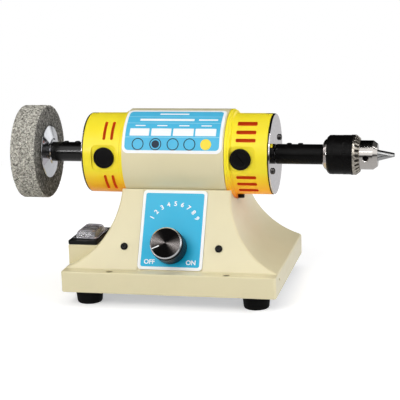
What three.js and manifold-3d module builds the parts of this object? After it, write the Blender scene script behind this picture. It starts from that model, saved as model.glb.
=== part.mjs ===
// Bench buffer: a small motor with a buffing wheel on one shaft end and a keyed chuck on the other.
// Millimetres, Z up. X runs along the motor shaft towards the chuck, and -Y is the front.
import * as THREE from 'three';
import { mergeVertices } from 'three/addons/utils/BufferGeometryUtils.js';
import Module from 'manifold-3d';

const wasm = await Module();
wasm.setup();

// Clearances that every piece shares
const fit = 0.3;
const seat = 0.1;
const overrun = 6;
const weldDistance = 0.0001;

// Counts of facets
const fineSides = 30;
const chuckSides = 24;
const mediumSides = 16;
const smallSides = 8;
const flareSteps = 7;
const cornerSteps = 2;

// Angles
const quarterTurn = Math.PI / 2;
const degree = Math.PI / 180;

// Height of the motor's axis and its main radii
const axisHeight = 108.5;
const drumRadius = 35;
const capRadius = 31.55;
const flangeRadius = Math.max(drumRadius, capRadius);

// Casing
const baseWidth = 167.4;
const baseDepth = 134.8;
const skirtBottom = 11.2;
const skirtHeight = 16.5;
const skirtCorner = 4;
const shellWall = 2.5;
const ledgeDepth = 10.2;
const faceSlope = 27.7 * degree;
const cradleDropShare = 0.68286;
const pedestalHalf = 43.4;
const flareDropShare = 0.43;
const flareReachShare = 0.385;
const flareRiseShare = 0.15;
const skirtTop = skirtBottom + skirtHeight;
const faceFoot = baseDepth / 2 - ledgeDepth;
const pedestalTop = axisHeight - cradleDropShare * drumRadius;

// How far up the sloping face the drum begins, from its distance to the motor's axis
const faceAlong = faceFoot * Math.sin(faceSlope) + (axisHeight - skirtTop) * Math.cos(faceSlope);
const faceApart = faceFoot * Math.cos(faceSlope) - (axisHeight - skirtTop) * Math.sin(faceSlope);
const faceRun = faceAlong - Math.sqrt(drumRadius ** 2 - faceApart ** 2);

// Feet and bottom plate
const plateSheet = 1.2;
const plateRecess = 0.4;
const plateFlange = 9;
const footRadius = 10.9;
const footTaper = 1.2;
const footEdge = 1;
const footInsetX = 17.75;
const footInsetY = 15.95;
const footSpacingX = baseWidth - 2 * footInsetX;
const footSpacingY = baseDepth - 2 * footInsetY;
const studRadius = 2.4;
const studLength = 9;
const postWall = 2.6;

// Front panel, knob and potentiometer
const panelWidth = 50.8;
const panelRise = 0.8;
const panelTopGap = 2.07;
const panelHeight = faceRun - panelRise - panelTopGap;
const panelSheet = 0.9;
const panelCorner = 3;
const panelRecess = 0.9;
const knobRise = 17.8;
const knobRadius = 12.8;
const knobHeight = 18.6;
const knobLift = 1;
const knobCollar = 3.2;
const knobChamfer = 1;
const knobFlutes = 24;
const fluteDepth = 0.5;
const knobHollowRadius = 9;
const knobHollowDepth = 4;
const pointerWidth = 0.8;
const pointerDepth = 0.4;
const pointerStartShare = 0.5;
const pointerAngle = 205 * degree;
const potRadius = 8.2;
const potDepth = 9;
const bushRadius = 3.6;
const bushReach = 4;
const potShaftRadius = 3;
const potShaftGrip = 9;
const potNutRadius = 6.2;
const potNutHeight = 2;

// Screws
const faceScrewSpacing = 74.4;
const faceScrewRise = 18.3;
const faceScrewHead = 2.9;
const faceScrewHeadHeight = 1.7;
const faceScrewShank = 1.9;
const faceScrewLength = 9;
const ledgeScrewSpacing = 91.2;
const ledgeScrewInset = 4.2;
const ledgeScrewHead = 2.9;
const ledgeScrewSink = 0.6;
const ledgeScrewHeadHeight = 1.4;
const ledgeScrewShank = 1.5;
const ledgeScrewLength = 9;
const hexSocketRadius = 1.2;
const sideHoleRadius = 1.5;
const sideHoleInset = 17.6;
const sideHoleFront = baseDepth / 2 - sideHoleInset;
const sideHoleHeight = 21.9;

// Cord inlet in the rear wall
const inletPlace = -50;
const inletHeight = 19.4;
const inletFlangeRadius = 6.6;
const inletFlange = 2;
const inletSleeveRadius = 4.8;
const inletBore = 3.4;
const inletLength = 8;

// Control board
const boardLength = 62;
const boardWidth = 44;
const boardSheet = 1.6;
const boardLift = 7;
const boardPlaceX = 12;
const boardPlaceY = 14;
const boardPegRadius = 2.6;
const boardPegInset = 4;
const sinkFins = 6;
const sinkFinSheet = 1.6;
const sinkPitch = 4.2;
const sinkHeight = 18;
const sinkDepth = 14;
const capacitorRadius = 6;
const capacitorHeight = 15;

// Switch box, bezel, rocker and cover
const switchInset = 21.4;
const switchFront = baseDepth / 2 - switchInset;
const switchLength = 45.3;
const switchWidth = 23.4;
const switchBoxTop = 43.4;
const switchMerge = 2.4;
const bezelHeight = 3.2;
const bezelCorner = 1.5;
const switchBodyWidth = 14.4;
const switchBodyLength = 25;
const switchBodyDepth = 15;
const switchBodyWall = 1;
const terminalWidth = 4.8;
const terminalSheet = 0.8;
const terminalLength = 6;
const terminalPitch = 8;
const rockerTilt = 10 * degree;
const rockerHub = 4.6;
const rockerEnd = 2.4;
const rockerDip = 1.2;
const coverWidth = 17.4;
const coverLength = 28.4;
const coverHeight = 6.8;
const coverWall = 0.8;
const coverTaper = 1.4;
const coverFlange = 1.2;

// Motor housing
const motorTurn = 2 * degree;
const drumWall = 1.8;
const drumLength = 79;
const bandSheet = 0.35;
const bandMargin = 0.9;
const bandLow = 7.5 * degree;
const bandHigh = 76.5 * degree;
const capWall = 2.3;
const capLength = 32.4;
const spigotLength = 6;
const spigotWall = 3.65;
const rimWeb = 1.5;
const flangeWidth = 3.5;
const flangeFlat = 2.5;
const lipWidth = 2.8;
const lipStep = 1.8;
const lipRadius = Math.max(drumRadius - lipStep, capRadius);
const pocketLength = 20;
const pocketHeight = 20;
const pocketCorner = 4;
const pocketDepth = 1.65;
const pocketShift = { right: 1.5, left: 0 };
const plugRadius = 8.2;
const plugHeight = 1.75;
const plugRing = 5.2;
const plugRingWidth = 0.5;
const plugRingDepth = 0.6;
const brushPlace = 12.2;
const blindPlace = 16.7;
const axialSlotStart = 8.5;
const axialSlotLength = 15.4;
const axialSlotHeight = 2.6;
const axialSlotAngles = [26.8, 39.1, 54.5];
const hoopSlotWidth = 2.3;
const hoopSlotPlaces = [10.5, 16.7];
const hoopSlotFrom = 26 * degree;
const hoopSlotTo = 57 * degree;
const notchLength = 5;
const notchWidth = 4;
const gasketSheet = 0.8;
const gasketWidth = 3;
const endPlateInset = 0.35;
const endPlateRadius = capRadius - endPlateInset;
const endPlateSheet = 1.4;
const pillarHalf = 3;
const pillarLength = 8;
const pillarWeb = 2.4;
const plateScrewCircle = 20;
const plateScrewAngle = -32.7 * degree;
const plateScrewHead = 2.5;
const plateScrewHeadHeight = 1.9;
const plateScrewShank = 1.5;
const plateScrewLength = 7;
const pegCircle = 23.6;
const pegAngle = 23.6 * degree;
const pegRadius = 1.5;
const pegReach = 0.8;
const lugPlace = 7.2;
const lugAngle = -86 * degree;
const lugHead = 2.6;
const lugHeadHeight = 3;
const lugShank = 1.5;

// Brushes
const brushWidth = 7;
const brushBreadth = 5.4;
const brushLength = 13;
const brushGuideHalf = 7;
const brushGuideStart = 15;

// Stator, rotor, fan and bearings
const statorLength = 44;
const poleBoreShare = 0.56627;
const poleBore = poleBoreShare * (drumRadius - drumWall);
const yokeWall = 5;
const shoeDepth = 3;
const neckAngle = 30 * degree;
const shoeAngle = 62 * degree;
const coilOverhang = 7;
const airGap = 0.6;
const rotorRadius = poleBore - airGap;
const rotorTeeth = 8;
const rotorSlotWidth = 3.6;
const rotorSlotDepth = 7;
const windingOverhang = 9;
const commutatorRadius = 11;
const commutatorLength = 14;
const commutatorBars = 8;
const commutatorSlot = 0.7;
const commutatorSlotDepth = 1.2;
const riserRadius = 12.6;
const riserLength = 2;
const fanRoom = 3.85;
const fanRadius = capRadius - capWall - fanRoom;
const fanHub = 9;
const fanDisc = 1.6;
const fanDepth = 12;
const fanBlades = 8;
const fanBladeSheet = 1.4;
const fanBladeLean = 24 * degree;
const fanInset = 10.9;
const fanPlace = drumLength / 2 + capLength - fanInset;
const shaftRadius = 4;
const bearingRadius = 11;
const bearingWidth = 7;
const bearingCup = 2;

// Shaft adaptors, wheel and flanges
const adaptorRadius = 7.9;
const adaptorEdge = 0.8;
const adaptorGap = 0.7;
const leftAdaptorLength = 31.7;
const rightAdaptorLength = 35.8;
const shaftGripShare = 0.7;
const setScrewRadius = 2;
const setScrewReach = 0.8;
const setScrewPlaces = { right: [9.8, 18.6], left: [11.8, 21.2] };
const arborRadius = 5;
const arborEnd = 1.2;
const wheelRadius = 37.5;
const wheelThickness = 19.8;
const wheelEdge = 1.2;
const innerFlangeRadius = 21.1;
const innerFlangeRim = 1.4;
const innerFlangeStep = 14;
const innerFlangeDish = 2.6;
const innerFlangeHub = 4.1;
const outerFlangeThickness = 3.2;
const flangeHollow = 1;
const arborNutRadius = 9.2;
const arborNutHeight = 5.6;

// Chuck, measured along its axis from its back
const taperRadius = 5.05;
const taperLength = 15;
const taperDrop = 0.35;
const chuckBackRadius = 8.5;
const chuckConeLength = 3.6;
const chuckRimRadius = 12.4;
const noseRadius = 11.2;
const noseFaceRadius = 8.7;
const noseChamferLength = 3.4;
const chuckBodyLength = 42.1;
const grooveRadius = 8.3;
const sleeveRadius = 15.2;
const sleeveChamferLength = 3.4;
const sleeveRearRadius = 13.5;
const sleeveFront = 28.8;
const sleeveBore = 13.2;
const sleeveLipLength = 2;
const gearRadius = 15.5;
const gearStart = 22;
const gearConeStart = 25.8;
const gearFrontRadius = 13;
const gearTeeth = 24;
const toothDepth = 1;
const toothWidth = 2.3;
const nutRingLength = 3.7;
const keyHoleRadius = 2.2;
const keyHoleDepth = 5;
const keyHolePlace = 33.4;
const keyHoleAngle = -5 * degree;
const jawCount = 3;
const jawAngle = 15 * degree;
const jawRadius = 2.9;
const jawReach = 12.6;
const jawTipRadius = 1.2;
const jawGap = 0.2;
const jawLength = 33.9;
const jawTravel = 10.8;

// Colours by finish
const finishes = {
  cream: { color: 0xded49f, roughness: 0.35, metalness: 0 },
  yellow: { color: 0xf4d22e, roughness: 0.35, metalness: 0 },
  labelBlue: { color: 0x3fb2e0, roughness: 0.4, metalness: 0 },
  blackPlastic: { color: 0x16161a, roughness: 0.4, metalness: 0 },
  blackRubber: { color: 0x17171a, roughness: 0.8, metalness: 0 },
  blackOxide: { color: 0x1c1c1e, roughness: 0.35, metalness: 0.8 },
  clearPlastic: { color: 0xe6ecf0, roughness: 0.08, metalness: 0, transparent: true, opacity: 0.35 },
  steel: { color: 0xb8b8bc, roughness: 0.3, metalness: 1 },
  brightSteel: { color: 0xd6d6da, roughness: 0.15, metalness: 1 },
  greyPlate: { color: 0xb9b3b8, roughness: 0.45, metalness: 0.6 },
  copper: { color: 0xb06a3a, roughness: 0.35, metalness: 1 },
  enamelWire: { color: 0x8a3b1c, roughness: 0.4, metalness: 0.4 },
  carbon: { color: 0x2b2b2d, roughness: 0.7, metalness: 0.1 },
  board: { color: 0x2f6b3f, roughness: 0.5, metalness: 0 },
  abrasive: { color: 0x8b877e, roughness: 0.95, metalness: 0 },
};

// Turns a closed geometry into a solid that can be cut and joined
function solid(geometry) {
  const plain = geometry.index ? geometry.toNonIndexed() : geometry.clone();
  plain.deleteAttribute('normal');
  plain.deleteAttribute('uv');
  const merged = mergeVertices(plain, weldDistance);
  const points = merged.attributes.position.array;
  const corners = merged.index.array;
  const kept = [];
  let volume = 0;
  const a = new THREE.Vector3();
  const b = new THREE.Vector3();
  const c = new THREE.Vector3();
  for (let i = 0; i < corners.length; i += 3) {
    const [p, q, r] = [corners[i], corners[i + 1], corners[i + 2]];
    if (p === q || q === r || r === p) continue;
    kept.push([p, q, r]);
    a.fromArray(points, p * 3);
    b.fromArray(points, q * 3);
    c.fromArray(points, r * 3);
    volume += a.dot(b.cross(c));
  }
  const turned = volume < 0 ? kept.map(([p, q, r]) => [p, r, q]) : kept;
  return new wasm.Manifold(new wasm.Mesh({
    numProp: 3,
    vertProperties: new Float32Array(points),
    triVerts: new Uint32Array(turned.flat()),
  }));
}

// Makes a named mesh of a solid, or of a closed geometry
function piece(name, body, finish) {
  const form = body.getMesh ? body : solid(body);
  const { vertProperties, triVerts } = form.getMesh();
  const geometry = new THREE.BufferGeometry();
  geometry.setAttribute('position', new THREE.BufferAttribute(vertProperties, 3));
  geometry.setIndex(new THREE.BufferAttribute(triVerts, 1));
  geometry.computeVertexNormals();
  const mesh = new THREE.Mesh(geometry, new THREE.MeshStandardMaterial(finishes[finish]));
  mesh.name = name;
  return mesh;
}

function joined(...geometries) {
  return geometries.map((each) => (each.getMesh ? each : solid(each))).reduce((all, each) => all.add(each));
}

function cutFrom(body, ...cutters) {
  const start = body.getMesh ? body : solid(body);
  return cutters.reduce((rest, each) => rest.subtract(each.getMesh ? each : solid(each)), start);
}

// A solid of revolution about X from a profile of [x, radius] points
function turnedX(profile, sides = fineSides) {
  const points = profile.map(([x, radius]) => new THREE.Vector2(radius, x));
  if (points[0].x > 0 || points.at(-1).x > 0) points.push(points[0].clone());
  return new THREE.LatheGeometry(points, sides).rotateZ(-quarterTurn);
}

// The same about Z, from [z, radius] points
function turnedZ(profile, sides = fineSides) {
  const points = profile.map(([z, radius]) => new THREE.Vector2(radius, z));
  if (points[0].x > 0 || points.at(-1).x > 0) points.push(points[0].clone());
  return new THREE.LatheGeometry(points, sides).rotateX(quarterTurn);
}

function rodX(radius, from, to, sides = mediumSides) {
  const rod = new THREE.CylinderGeometry(radius, radius, to - from, sides);
  return rod.rotateZ(-quarterTurn).translate((from + to) / 2, 0, 0);
}

function rodY(radius, from, to, sides = mediumSides) {
  return new THREE.CylinderGeometry(radius, radius, to - from, sides).translate(0, (from + to) / 2, 0);
}

function rodZ(radius, from, to, sides = mediumSides) {
  const rod = new THREE.CylinderGeometry(radius, radius, to - from, sides);
  return rod.rotateX(quarterTurn).translate(0, 0, (from + to) / 2);
}

function block([x0, x1], [y0, y1], [z0, z1]) {
  const box = new THREE.BoxGeometry(x1 - x0, y1 - y0, z1 - z0);
  return box.translate((x0 + x1) / 2, (y0 + y1) / 2, (z0 + z1) / 2);
}

// A rounded rectangle centred on a point
function roundedRectangle(width, height, corner) {
  const x = width / 2 - corner;
  const y = height / 2 - corner;
  const shape = new THREE.Shape();
  shape.absarc(x, y, corner, 0, quarterTurn);
  shape.absarc(-x, y, corner, quarterTurn, 2 * quarterTurn);
  shape.absarc(-x, -y, corner, 2 * quarterTurn, 3 * quarterTurn);
  shape.absarc(x, -y, corner, 3 * quarterTurn, 4 * quarterTurn);
  shape.closePath();
  return shape;
}

function extruded(shape, depth, curveSegments = cornerSteps) {
  return new THREE.ExtrudeGeometry(shape, { depth, curveSegments, bevelEnabled: false });
}

const alongX = new THREE.Matrix4().makeBasis(
  new THREE.Vector3(0, 1, 0),
  new THREE.Vector3(0, 0, 1),
  new THREE.Vector3(1, 0, 0),
);
const alongFront = new THREE.Matrix4().makeBasis(
  new THREE.Vector3(1, 0, 0),
  new THREE.Vector3(0, 0, 1),
  new THREE.Vector3(0, -1, 0),
);

// A shape drawn in Y and Z and pushed along X
function pushedX(shape, from, to, curveSegments) {
  return extruded(shape, to - from, curveSegments).applyMatrix4(alongX).translate(from, 0, 0);
}

// A shape drawn in X and Z and pushed to the front, from one distance to another
function pushedFront(shape, from, to, curveSegments) {
  return extruded(shape, to - from, curveSegments).applyMatrix4(alongFront).translate(0, -from, 0);
}

// Turns a geometry made at the front upwards round the X axis
function raised(geometry, angle) {
  return geometry.rotateX(-angle);
}

// A block between two radii and two angles, measured upwards from the front
function hoopBlock(inner, outer, from, to, x0, x1, steps) {
  const shape = new THREE.Shape();
  shape.absarc(0, 0, outer, Math.PI - to, Math.PI - from);
  shape.absarc(0, 0, inner, Math.PI - from, Math.PI - to, true);
  shape.closePath();
  return pushedX(shape, x0, x1, steps);
}

// The skirt's outline, moved inwards, as an upright prism
function skirtPrism(inset, from, to) {
  const corner = Math.max(skirtCorner - inset, seat);
  const outline = roundedRectangle(baseWidth - 2 * inset, baseDepth - 2 * inset, corner);
  return extruded(outline, to - from).translate(0, 0, from);
}

// The flared sides of the pedestal, moved inwards, pushed from front to back
function flareForm(inset) {
  const rise = pedestalTop - skirtTop;
  const spread = baseWidth / 2 - pedestalHalf;
  const side = new THREE.CubicBezierCurve(
    new THREE.Vector2(pedestalHalf, pedestalTop),
    new THREE.Vector2(pedestalHalf, pedestalTop - flareDropShare * rise),
    new THREE.Vector2(pedestalHalf + flareReachShare * spread, skirtTop + flareRiseShare * rise),
    new THREE.Vector2(baseWidth / 2, skirtTop),
  );
  const right = [];
  for (let i = 0; i <= flareSteps; i += 1) {
    const point = side.getPoint(i / flareSteps);
    const tangent = side.getTangent(i / flareSteps);
    right.push(new THREE.Vector2(point.x + tangent.y * inset, point.y - tangent.x * inset));
  }
  right.push(new THREE.Vector2(right.at(-1).x, skirtTop - shellWall - seat));
  const left = right.map((point) => new THREE.Vector2(-point.x, point.y)).reverse();
  const shape = new THREE.Shape([...right, ...left]);
  return pushedFront(shape, -baseDepth / 2, baseDepth / 2);
}

// The sloping front and rear of the pedestal, moved inwards, pushed from side to side
function slopeForm(inset) {
  const shift = inset / Math.cos(faceSlope);
  const low = skirtTop - shellWall - seat;
  const high = pedestalTop - inset;
  const front = (z) => -faceFoot + (z - skirtTop) * Math.tan(faceSlope) + shift;
  const rear = (z) => baseDepth / 2 - (z - skirtTop) * Math.tan(faceSlope) - shift;
  const shape = new THREE.Shape([
    new THREE.Vector2(front(low), low),
    new THREE.Vector2(rear(low), low),
    new THREE.Vector2(rear(high), high),
    new THREE.Vector2(front(high), high),
  ]);
  return pushedX(shape, -baseWidth / 2, baseWidth / 2);
}

function pedestalForm(inset) {
  const limits = solid(skirtPrism(inset, skirtTop - shellWall - seat, pedestalTop));
  return solid(flareForm(inset)).intersect(solid(slopeForm(inset))).intersect(limits);
}

// The face frame: X across, Y up the sloping face, Z out of it
function faceMatrix() {
  const turn = new THREE.Matrix4().makeRotationX(quarterTurn - faceSlope);
  return turn.setPosition(0, -faceFoot, skirtTop);
}

function onFace(geometry, x, y) {
  return geometry.translate(x, y, 0).applyMatrix4(faceMatrix());
}

const switchLeft = -baseWidth / 2;
const switchRight = switchLeft + switchWidth;
const switchMiddleX = switchLeft + switchWidth / 2;
const switchMiddleY = -switchFront + switchLength / 2;
const plateLow = skirtBottom + plateRecess;
const plateHigh = plateLow + plateSheet;
const footPlaces = [];
for (const x of [-footSpacingX / 2, footSpacingX / 2]) {
  for (const y of [-footSpacingY / 2, footSpacingY / 2]) footPlaces.push([x, y]);
}

// The casing: skirt, flared pedestal, switch box and the motor's cradle, hollow and open below
function baseShell() {
  const boxTop = [skirtTop - shellWall - seat, switchBoxTop];
  const boxDepth = [-switchFront, -switchFront + switchLength];
  const outer = joined(
    skirtPrism(0, skirtBottom, skirtTop),
    pedestalForm(0),
    block([switchLeft, switchRight + switchMerge], boxDepth, boxTop),
  );
  const hollow = joined(
    skirtPrism(shellWall, skirtBottom - overrun, skirtTop - shellWall),
    pedestalForm(shellWall),
    block(
      [switchLeft + shellWall, switchRight + switchMerge],
      [boxDepth[0] + shellWall, boxDepth[1] - shellWall],
      [skirtTop - 2 * shellWall, switchBoxTop - shellWall],
    ),
  );
  const shell = cutFrom(outer, cutFrom(hollow, cradleForm(shellWall)));
  const footPosts = footPlaces.map(([x, y]) => (
    post(studRadius, plateHigh + seat, pedestalTop).translate(x, y, 0)
  ));
  const ledgePosts = [-ledgeScrewSpacing / 2, ledgeScrewSpacing / 2].map((x) => {
    const stud = post(ledgeScrewShank, skirtTop - ledgeScrewLength, skirtTop - fit);
    return stud.translate(x, ledgeScrewInset - baseDepth / 2, 0);
  });
  const facePosts = [-faceScrewSpacing / 2, faceScrewSpacing / 2].map((x) => (
    onFace(post(faceScrewShank, -faceScrewLength, -fit), x, faceScrewRise)
  ));
  const posts = joined(...footPosts, ...ledgePosts, ...facePosts).intersect(outer);
  return cutFrom(shell.add(posts), cradleForm(0), ...baseCuts());
}

// The room of the motor over the casing, moved outwards: the drum, and the bells past its ends
function cradleForm(wall) {
  const drumEnd = drumLength / 2 - wall;
  const drumReach = drumRadius + fit + wall;
  const bellReach = flangeRadius + fit + wall;
  return turnedX([
    [-baseWidth, 0],
    [-baseWidth, bellReach],
    [-drumEnd, bellReach],
    [-drumEnd, drumReach],
    [drumEnd, drumReach],
    [drumEnd, bellReach],
    [baseWidth, bellReach],
    [baseWidth, 0],
  ]).translate(0, 0, axisHeight);
}

// A square boss that takes a shank of the given radius
function post(radius, from, to) {
  const half = radius + fit + postWall;
  return block([-half, half], [-half, half], [from, to]);
}

// Everything that is cut through or into the casing
function baseCuts() {
  const cuts = [];
  const channelTop = pedestalTop / Math.cos(faceSlope);
  const channelHalf = panelWidth / 2 + fit;
  cuts.push(onFace(block([-channelHalf, channelHalf], [0, channelTop], [-panelRecess, overrun]), 0, 0));
  cuts.push(onFace(rodZ(bushRadius + fit, -overrun, overrun), 0, knobRise));
  for (const side of [-1, 1]) {
    const shank = rodZ(faceScrewShank + fit, -faceScrewLength - overrun, overrun, smallSides);
    cuts.push(onFace(shank, side * faceScrewSpacing / 2, faceScrewRise));
    const x = side * ledgeScrewSpacing / 2;
    const y = ledgeScrewInset - baseDepth / 2;
    const sinkDepth = ledgeScrewSink + ledgeScrewHeadHeight + fit;
    const sink = turnedZ([
      [skirtTop - sinkDepth, 0],
      [skirtTop - sinkDepth, ledgeScrewShank + fit],
      [skirtTop - ledgeScrewSink, ledgeScrewHead + fit],
      [skirtTop + overrun, ledgeScrewHead + fit],
      [skirtTop + overrun, 0],
    ], smallSides);
    cuts.push(sink.translate(x, y, 0));
    cuts.push(rodZ(ledgeScrewShank + fit, skirtBottom, skirtTop, smallSides).translate(x, y, 0));
    const hole = rodX(sideHoleRadius, baseWidth / 2 - overrun, baseWidth / 2 + overrun, smallSides);
    cuts.push(hole.translate(0, -sideHoleFront, sideHoleHeight).rotateZ(side < 0 ? Math.PI : 0)
      .translate(0, side < 0 ? -2 * sideHoleFront : 0, 0));
  }
  for (const [x, y] of footPlaces) {
    const stud = rodZ(studRadius + fit, skirtBottom, plateLow + studLength + fit, smallSides);
    cuts.push(stud.translate(x, y, 0));
  }
  const inlet = rodY(inletSleeveRadius + fit, baseDepth / 2 - overrun, baseDepth / 2 + overrun);
  cuts.push(inlet.translate(inletPlace, 0, inletHeight));
  const window = block(
    [-switchBodyWidth / 2 - fit, switchBodyWidth / 2 + fit],
    [-switchBodyLength / 2 - fit, switchBodyLength / 2 + fit],
    [switchBoxTop - overrun, switchBoxTop + overrun],
  );
  cuts.push(window.translate(switchMiddleX, switchMiddleY, 0));
  cuts.push(block(
    [switchLeft - overrun, switchRight + fit],
    [-switchFront - fit, -switchFront + switchLength + fit],
    [switchBoxTop, switchBoxTop + bezelHeight + coverHeight + seat],
  ));
  const lugReach = capRadius + fit + lugHeadHeight + seat;
  const lugRoom = rodY(lugHead + fit, -lugReach, -capRadius, smallSides);
  lugRoom.translate(drumLength / 2 + lugPlace, 0, 0);
  cuts.push(raised(lugRoom, lugAngle + motorTurn).translate(0, 0, axisHeight));
  return cuts;
}

// The folded sheet that closes the casing below, with a lip at each end
function bottomPlate() {
  const inset = shellWall + fit;
  const sheet = skirtPrism(inset, plateLow, plateHigh);
  const lips = [-1, 1].map((side) => {
    const outside = side * (baseWidth / 2 - inset);
    const inside = outside - side * plateSheet;
    const reach = footSpacingY / 2 - studRadius - postWall - fit - 2 * skirtCorner;
    return block(
      [Math.min(outside, inside), Math.max(outside, inside)],
      [-reach, reach],
      [plateLow, plateHigh + plateFlange],
    );
  });
  const holes = footPlaces.map(([x, y]) => (
    rodZ(studRadius + fit, plateLow - overrun, plateHigh + overrun, smallSides).translate(x, y, 0)
  ));
  return cutFrom(joined(sheet, ...lips), ...holes);
}

// A tapered rubber foot with a moulded stud
function foot() {
  const bottomRadius = footRadius - footTaper;
  return turnedZ([
    [0, 0],
    [0, bottomRadius - footEdge],
    [footEdge, bottomRadius],
    [plateLow - seat, footRadius],
    [plateLow - seat, studRadius],
    [plateLow + studLength, studRadius],
    [plateLow + studLength, 0],
  ], mediumSides);
}

// The label plate, seated in the face's channel with a hole for the bush
function frontPanel() {
  const low = -panelRecess + fit;
  const plate = extruded(roundedRectangle(panelWidth, panelHeight, panelCorner), panelSheet);
  plate.translate(0, panelRise + panelHeight / 2, low);
  const hole = rodZ(bushRadius + fit, -overrun, overrun).translate(0, knobRise, 0);
  return cutFrom(plate, hole);
}

// A knob with a fluted skirt, a chamfered rim and a pointer groove, hollow over the nut
function speedKnob() {
  const outline = new THREE.Shape();
  for (let i = 0; i < 2 * knobFlutes; i += 1) {
    const angle = (i * Math.PI) / knobFlutes;
    const radius = knobRadius - (i % 2) * fluteDepth;
    const [x, y] = [radius * Math.cos(angle), radius * Math.sin(angle)];
    if (i === 0) outline.moveTo(x, y);
    else outline.lineTo(x, y);
  }
  outline.closePath();
  const collarLow = knobHeight - knobCollar;
  const skirt = extruded(outline, collarLow - knobLift).translate(0, 0, knobLift);
  const collarRadius = knobRadius - fluteDepth;
  const collar = turnedZ([
    [collarLow - seat, 0],
    [collarLow - seat, collarRadius],
    [knobHeight - knobChamfer, collarRadius],
    [knobHeight, collarRadius - knobChamfer],
    [knobHeight, 0],
  ], chuckSides);
  const hollow = rodZ(knobHollowRadius, knobLift - overrun, knobLift + knobHollowDepth, mediumSides);
  const bore = rodZ(potShaftRadius + fit, knobLift, bushReach + potShaftGrip + fit, smallSides);
  const pointer = block(
    [pointerStartShare * knobRadius, knobRadius + overrun],
    [-pointerWidth / 2, pointerWidth / 2],
    [knobHeight - pointerDepth, knobHeight + overrun],
  );
  return cutFrom(joined(skirt, collar), hollow, bore, pointer.rotateZ(pointerAngle));
}

// The potentiometer's can, with its bush through the face and the nut that holds it
function potBody() {
  const back = -shellWall - fit;
  const nutLow = panelSheet - panelRecess + 2 * fit;
  const can = rodZ(potRadius, back - potDepth, back);
  const bush = rodZ(bushRadius, back - seat, bushReach, smallSides);
  const nut = new THREE.CylinderGeometry(potNutRadius, potNutRadius, potNutHeight, 6);
  nut.rotateX(quarterTurn).translate(0, 0, nutLow + potNutHeight / 2);
  const bore = rodZ(potShaftRadius + fit, back - potDepth / 2, bushReach + overrun, smallSides);
  return cutFrom(joined(can, bush, nut), bore);
}

function potShaft() {
  const back = -shellWall - fit - potDepth / 2 + fit;
  return rodZ(potShaftRadius, back, bushReach + potShaftGrip, smallSides);
}

// A button-head screw along Z with a hexagon socket, its head on the face at zero
function faceScrew() {
  const edge = faceScrewHeadHeight / 3;
  const screw = turnedZ([
    [-faceScrewLength, 0],
    [-faceScrewLength, faceScrewShank],
    [seat, faceScrewShank],
    [seat, faceScrewHead],
    [seat + edge, faceScrewHead],
    [seat + 2 * edge, faceScrewHead - edge],
    [seat + 3 * edge, faceScrewHead - 3 * edge],
    [seat + 3 * edge, 0],
  ], smallSides);
  return cutFrom(screw, hexSocket(seat + edge, faceScrewHeadHeight));
}

function hexSocket(from, length) {
  const socket = new THREE.CylinderGeometry(hexSocketRadius, hexSocketRadius, length, 6);
  return socket.rotateX(quarterTurn).translate(0, 0, from + length / 2);
}

// A countersunk screw in the ledge
function ledgeScrew() {
  const top = skirtTop - ledgeScrewSink;
  return turnedZ([
    [top - ledgeScrewLength, 0],
    [top - ledgeScrewLength, ledgeScrewShank],
    [top - ledgeScrewHeadHeight, ledgeScrewShank],
    [top, ledgeScrewHead],
    [top, 0],
  ], smallSides);
}

// A grommet in the rear wall that a cord would pass through
function cordInlet() {
  return turnedZ([
    [-inletLength, inletBore],
    [-inletLength, inletSleeveRadius],
    [seat, inletSleeveRadius],
    [seat, inletFlangeRadius],
    [inletFlange / 2, inletFlangeRadius],
    [inletFlange, inletFlangeRadius - inletFlange / 2],
    [inletFlange, inletBore],
  ], chuckSides / 2).rotateX(-quarterTurn);
}

// The control board on four pegs, with a finned heat sink and a capacitor
function controlBoard() {
  const low = plateHigh + seat;
  const top = low + boardLift + boardSheet;
  const halfX = boardLength / 2;
  const halfY = boardWidth / 2;
  const parts = [block([-halfX, halfX], [-halfY, halfY], [top - boardSheet, top])];
  for (const x of [boardPegInset - halfX, halfX - boardPegInset]) {
    for (const y of [boardPegInset - halfY, halfY - boardPegInset]) {
      parts.push(rodZ(boardPegRadius, low, top - boardSheet / 2, smallSides).translate(x, y, 0));
    }
  }
  const sinkBack = halfY - boardPegInset;
  const sinkHalf = (sinkFins - 1) * sinkPitch / 2 + sinkFinSheet / 2;
  const sinkUp = [top - seat, top + sinkHeight];
  parts.push(block([-sinkHalf, sinkHalf], [sinkBack - sinkFinSheet, sinkBack], sinkUp));
  for (let i = 0; i < sinkFins; i += 1) {
    const x = (i - (sinkFins - 1) / 2) * sinkPitch;
    const across = [x - sinkFinSheet / 2, x + sinkFinSheet / 2];
    parts.push(block(across, [sinkBack - sinkDepth, sinkBack], sinkUp));
  }
  const capacitor = rodZ(capacitorRadius, top - seat, top + capacitorHeight, smallSides);
  const corner = capacitorRadius + boardPegInset;
  parts.push(capacitor.translate(corner - halfX, corner - halfY, 0));
  return joined(...parts);
}

// The bezel on top of the switch box, in the switch's own frame with zero at its underside
function switchBezel() {
  const slab = extruded(roundedRectangle(switchWidth, switchLength, bezelCorner), bezelHeight - seat);
  const window = block(
    [-switchBodyWidth / 2 - fit, switchBodyWidth / 2 + fit],
    [-switchBodyLength / 2 - fit, switchBodyLength / 2 + fit],
    [-overrun, bezelHeight + overrun],
  );
  return cutFrom(slab.translate(0, 0, seat), window);
}

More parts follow.
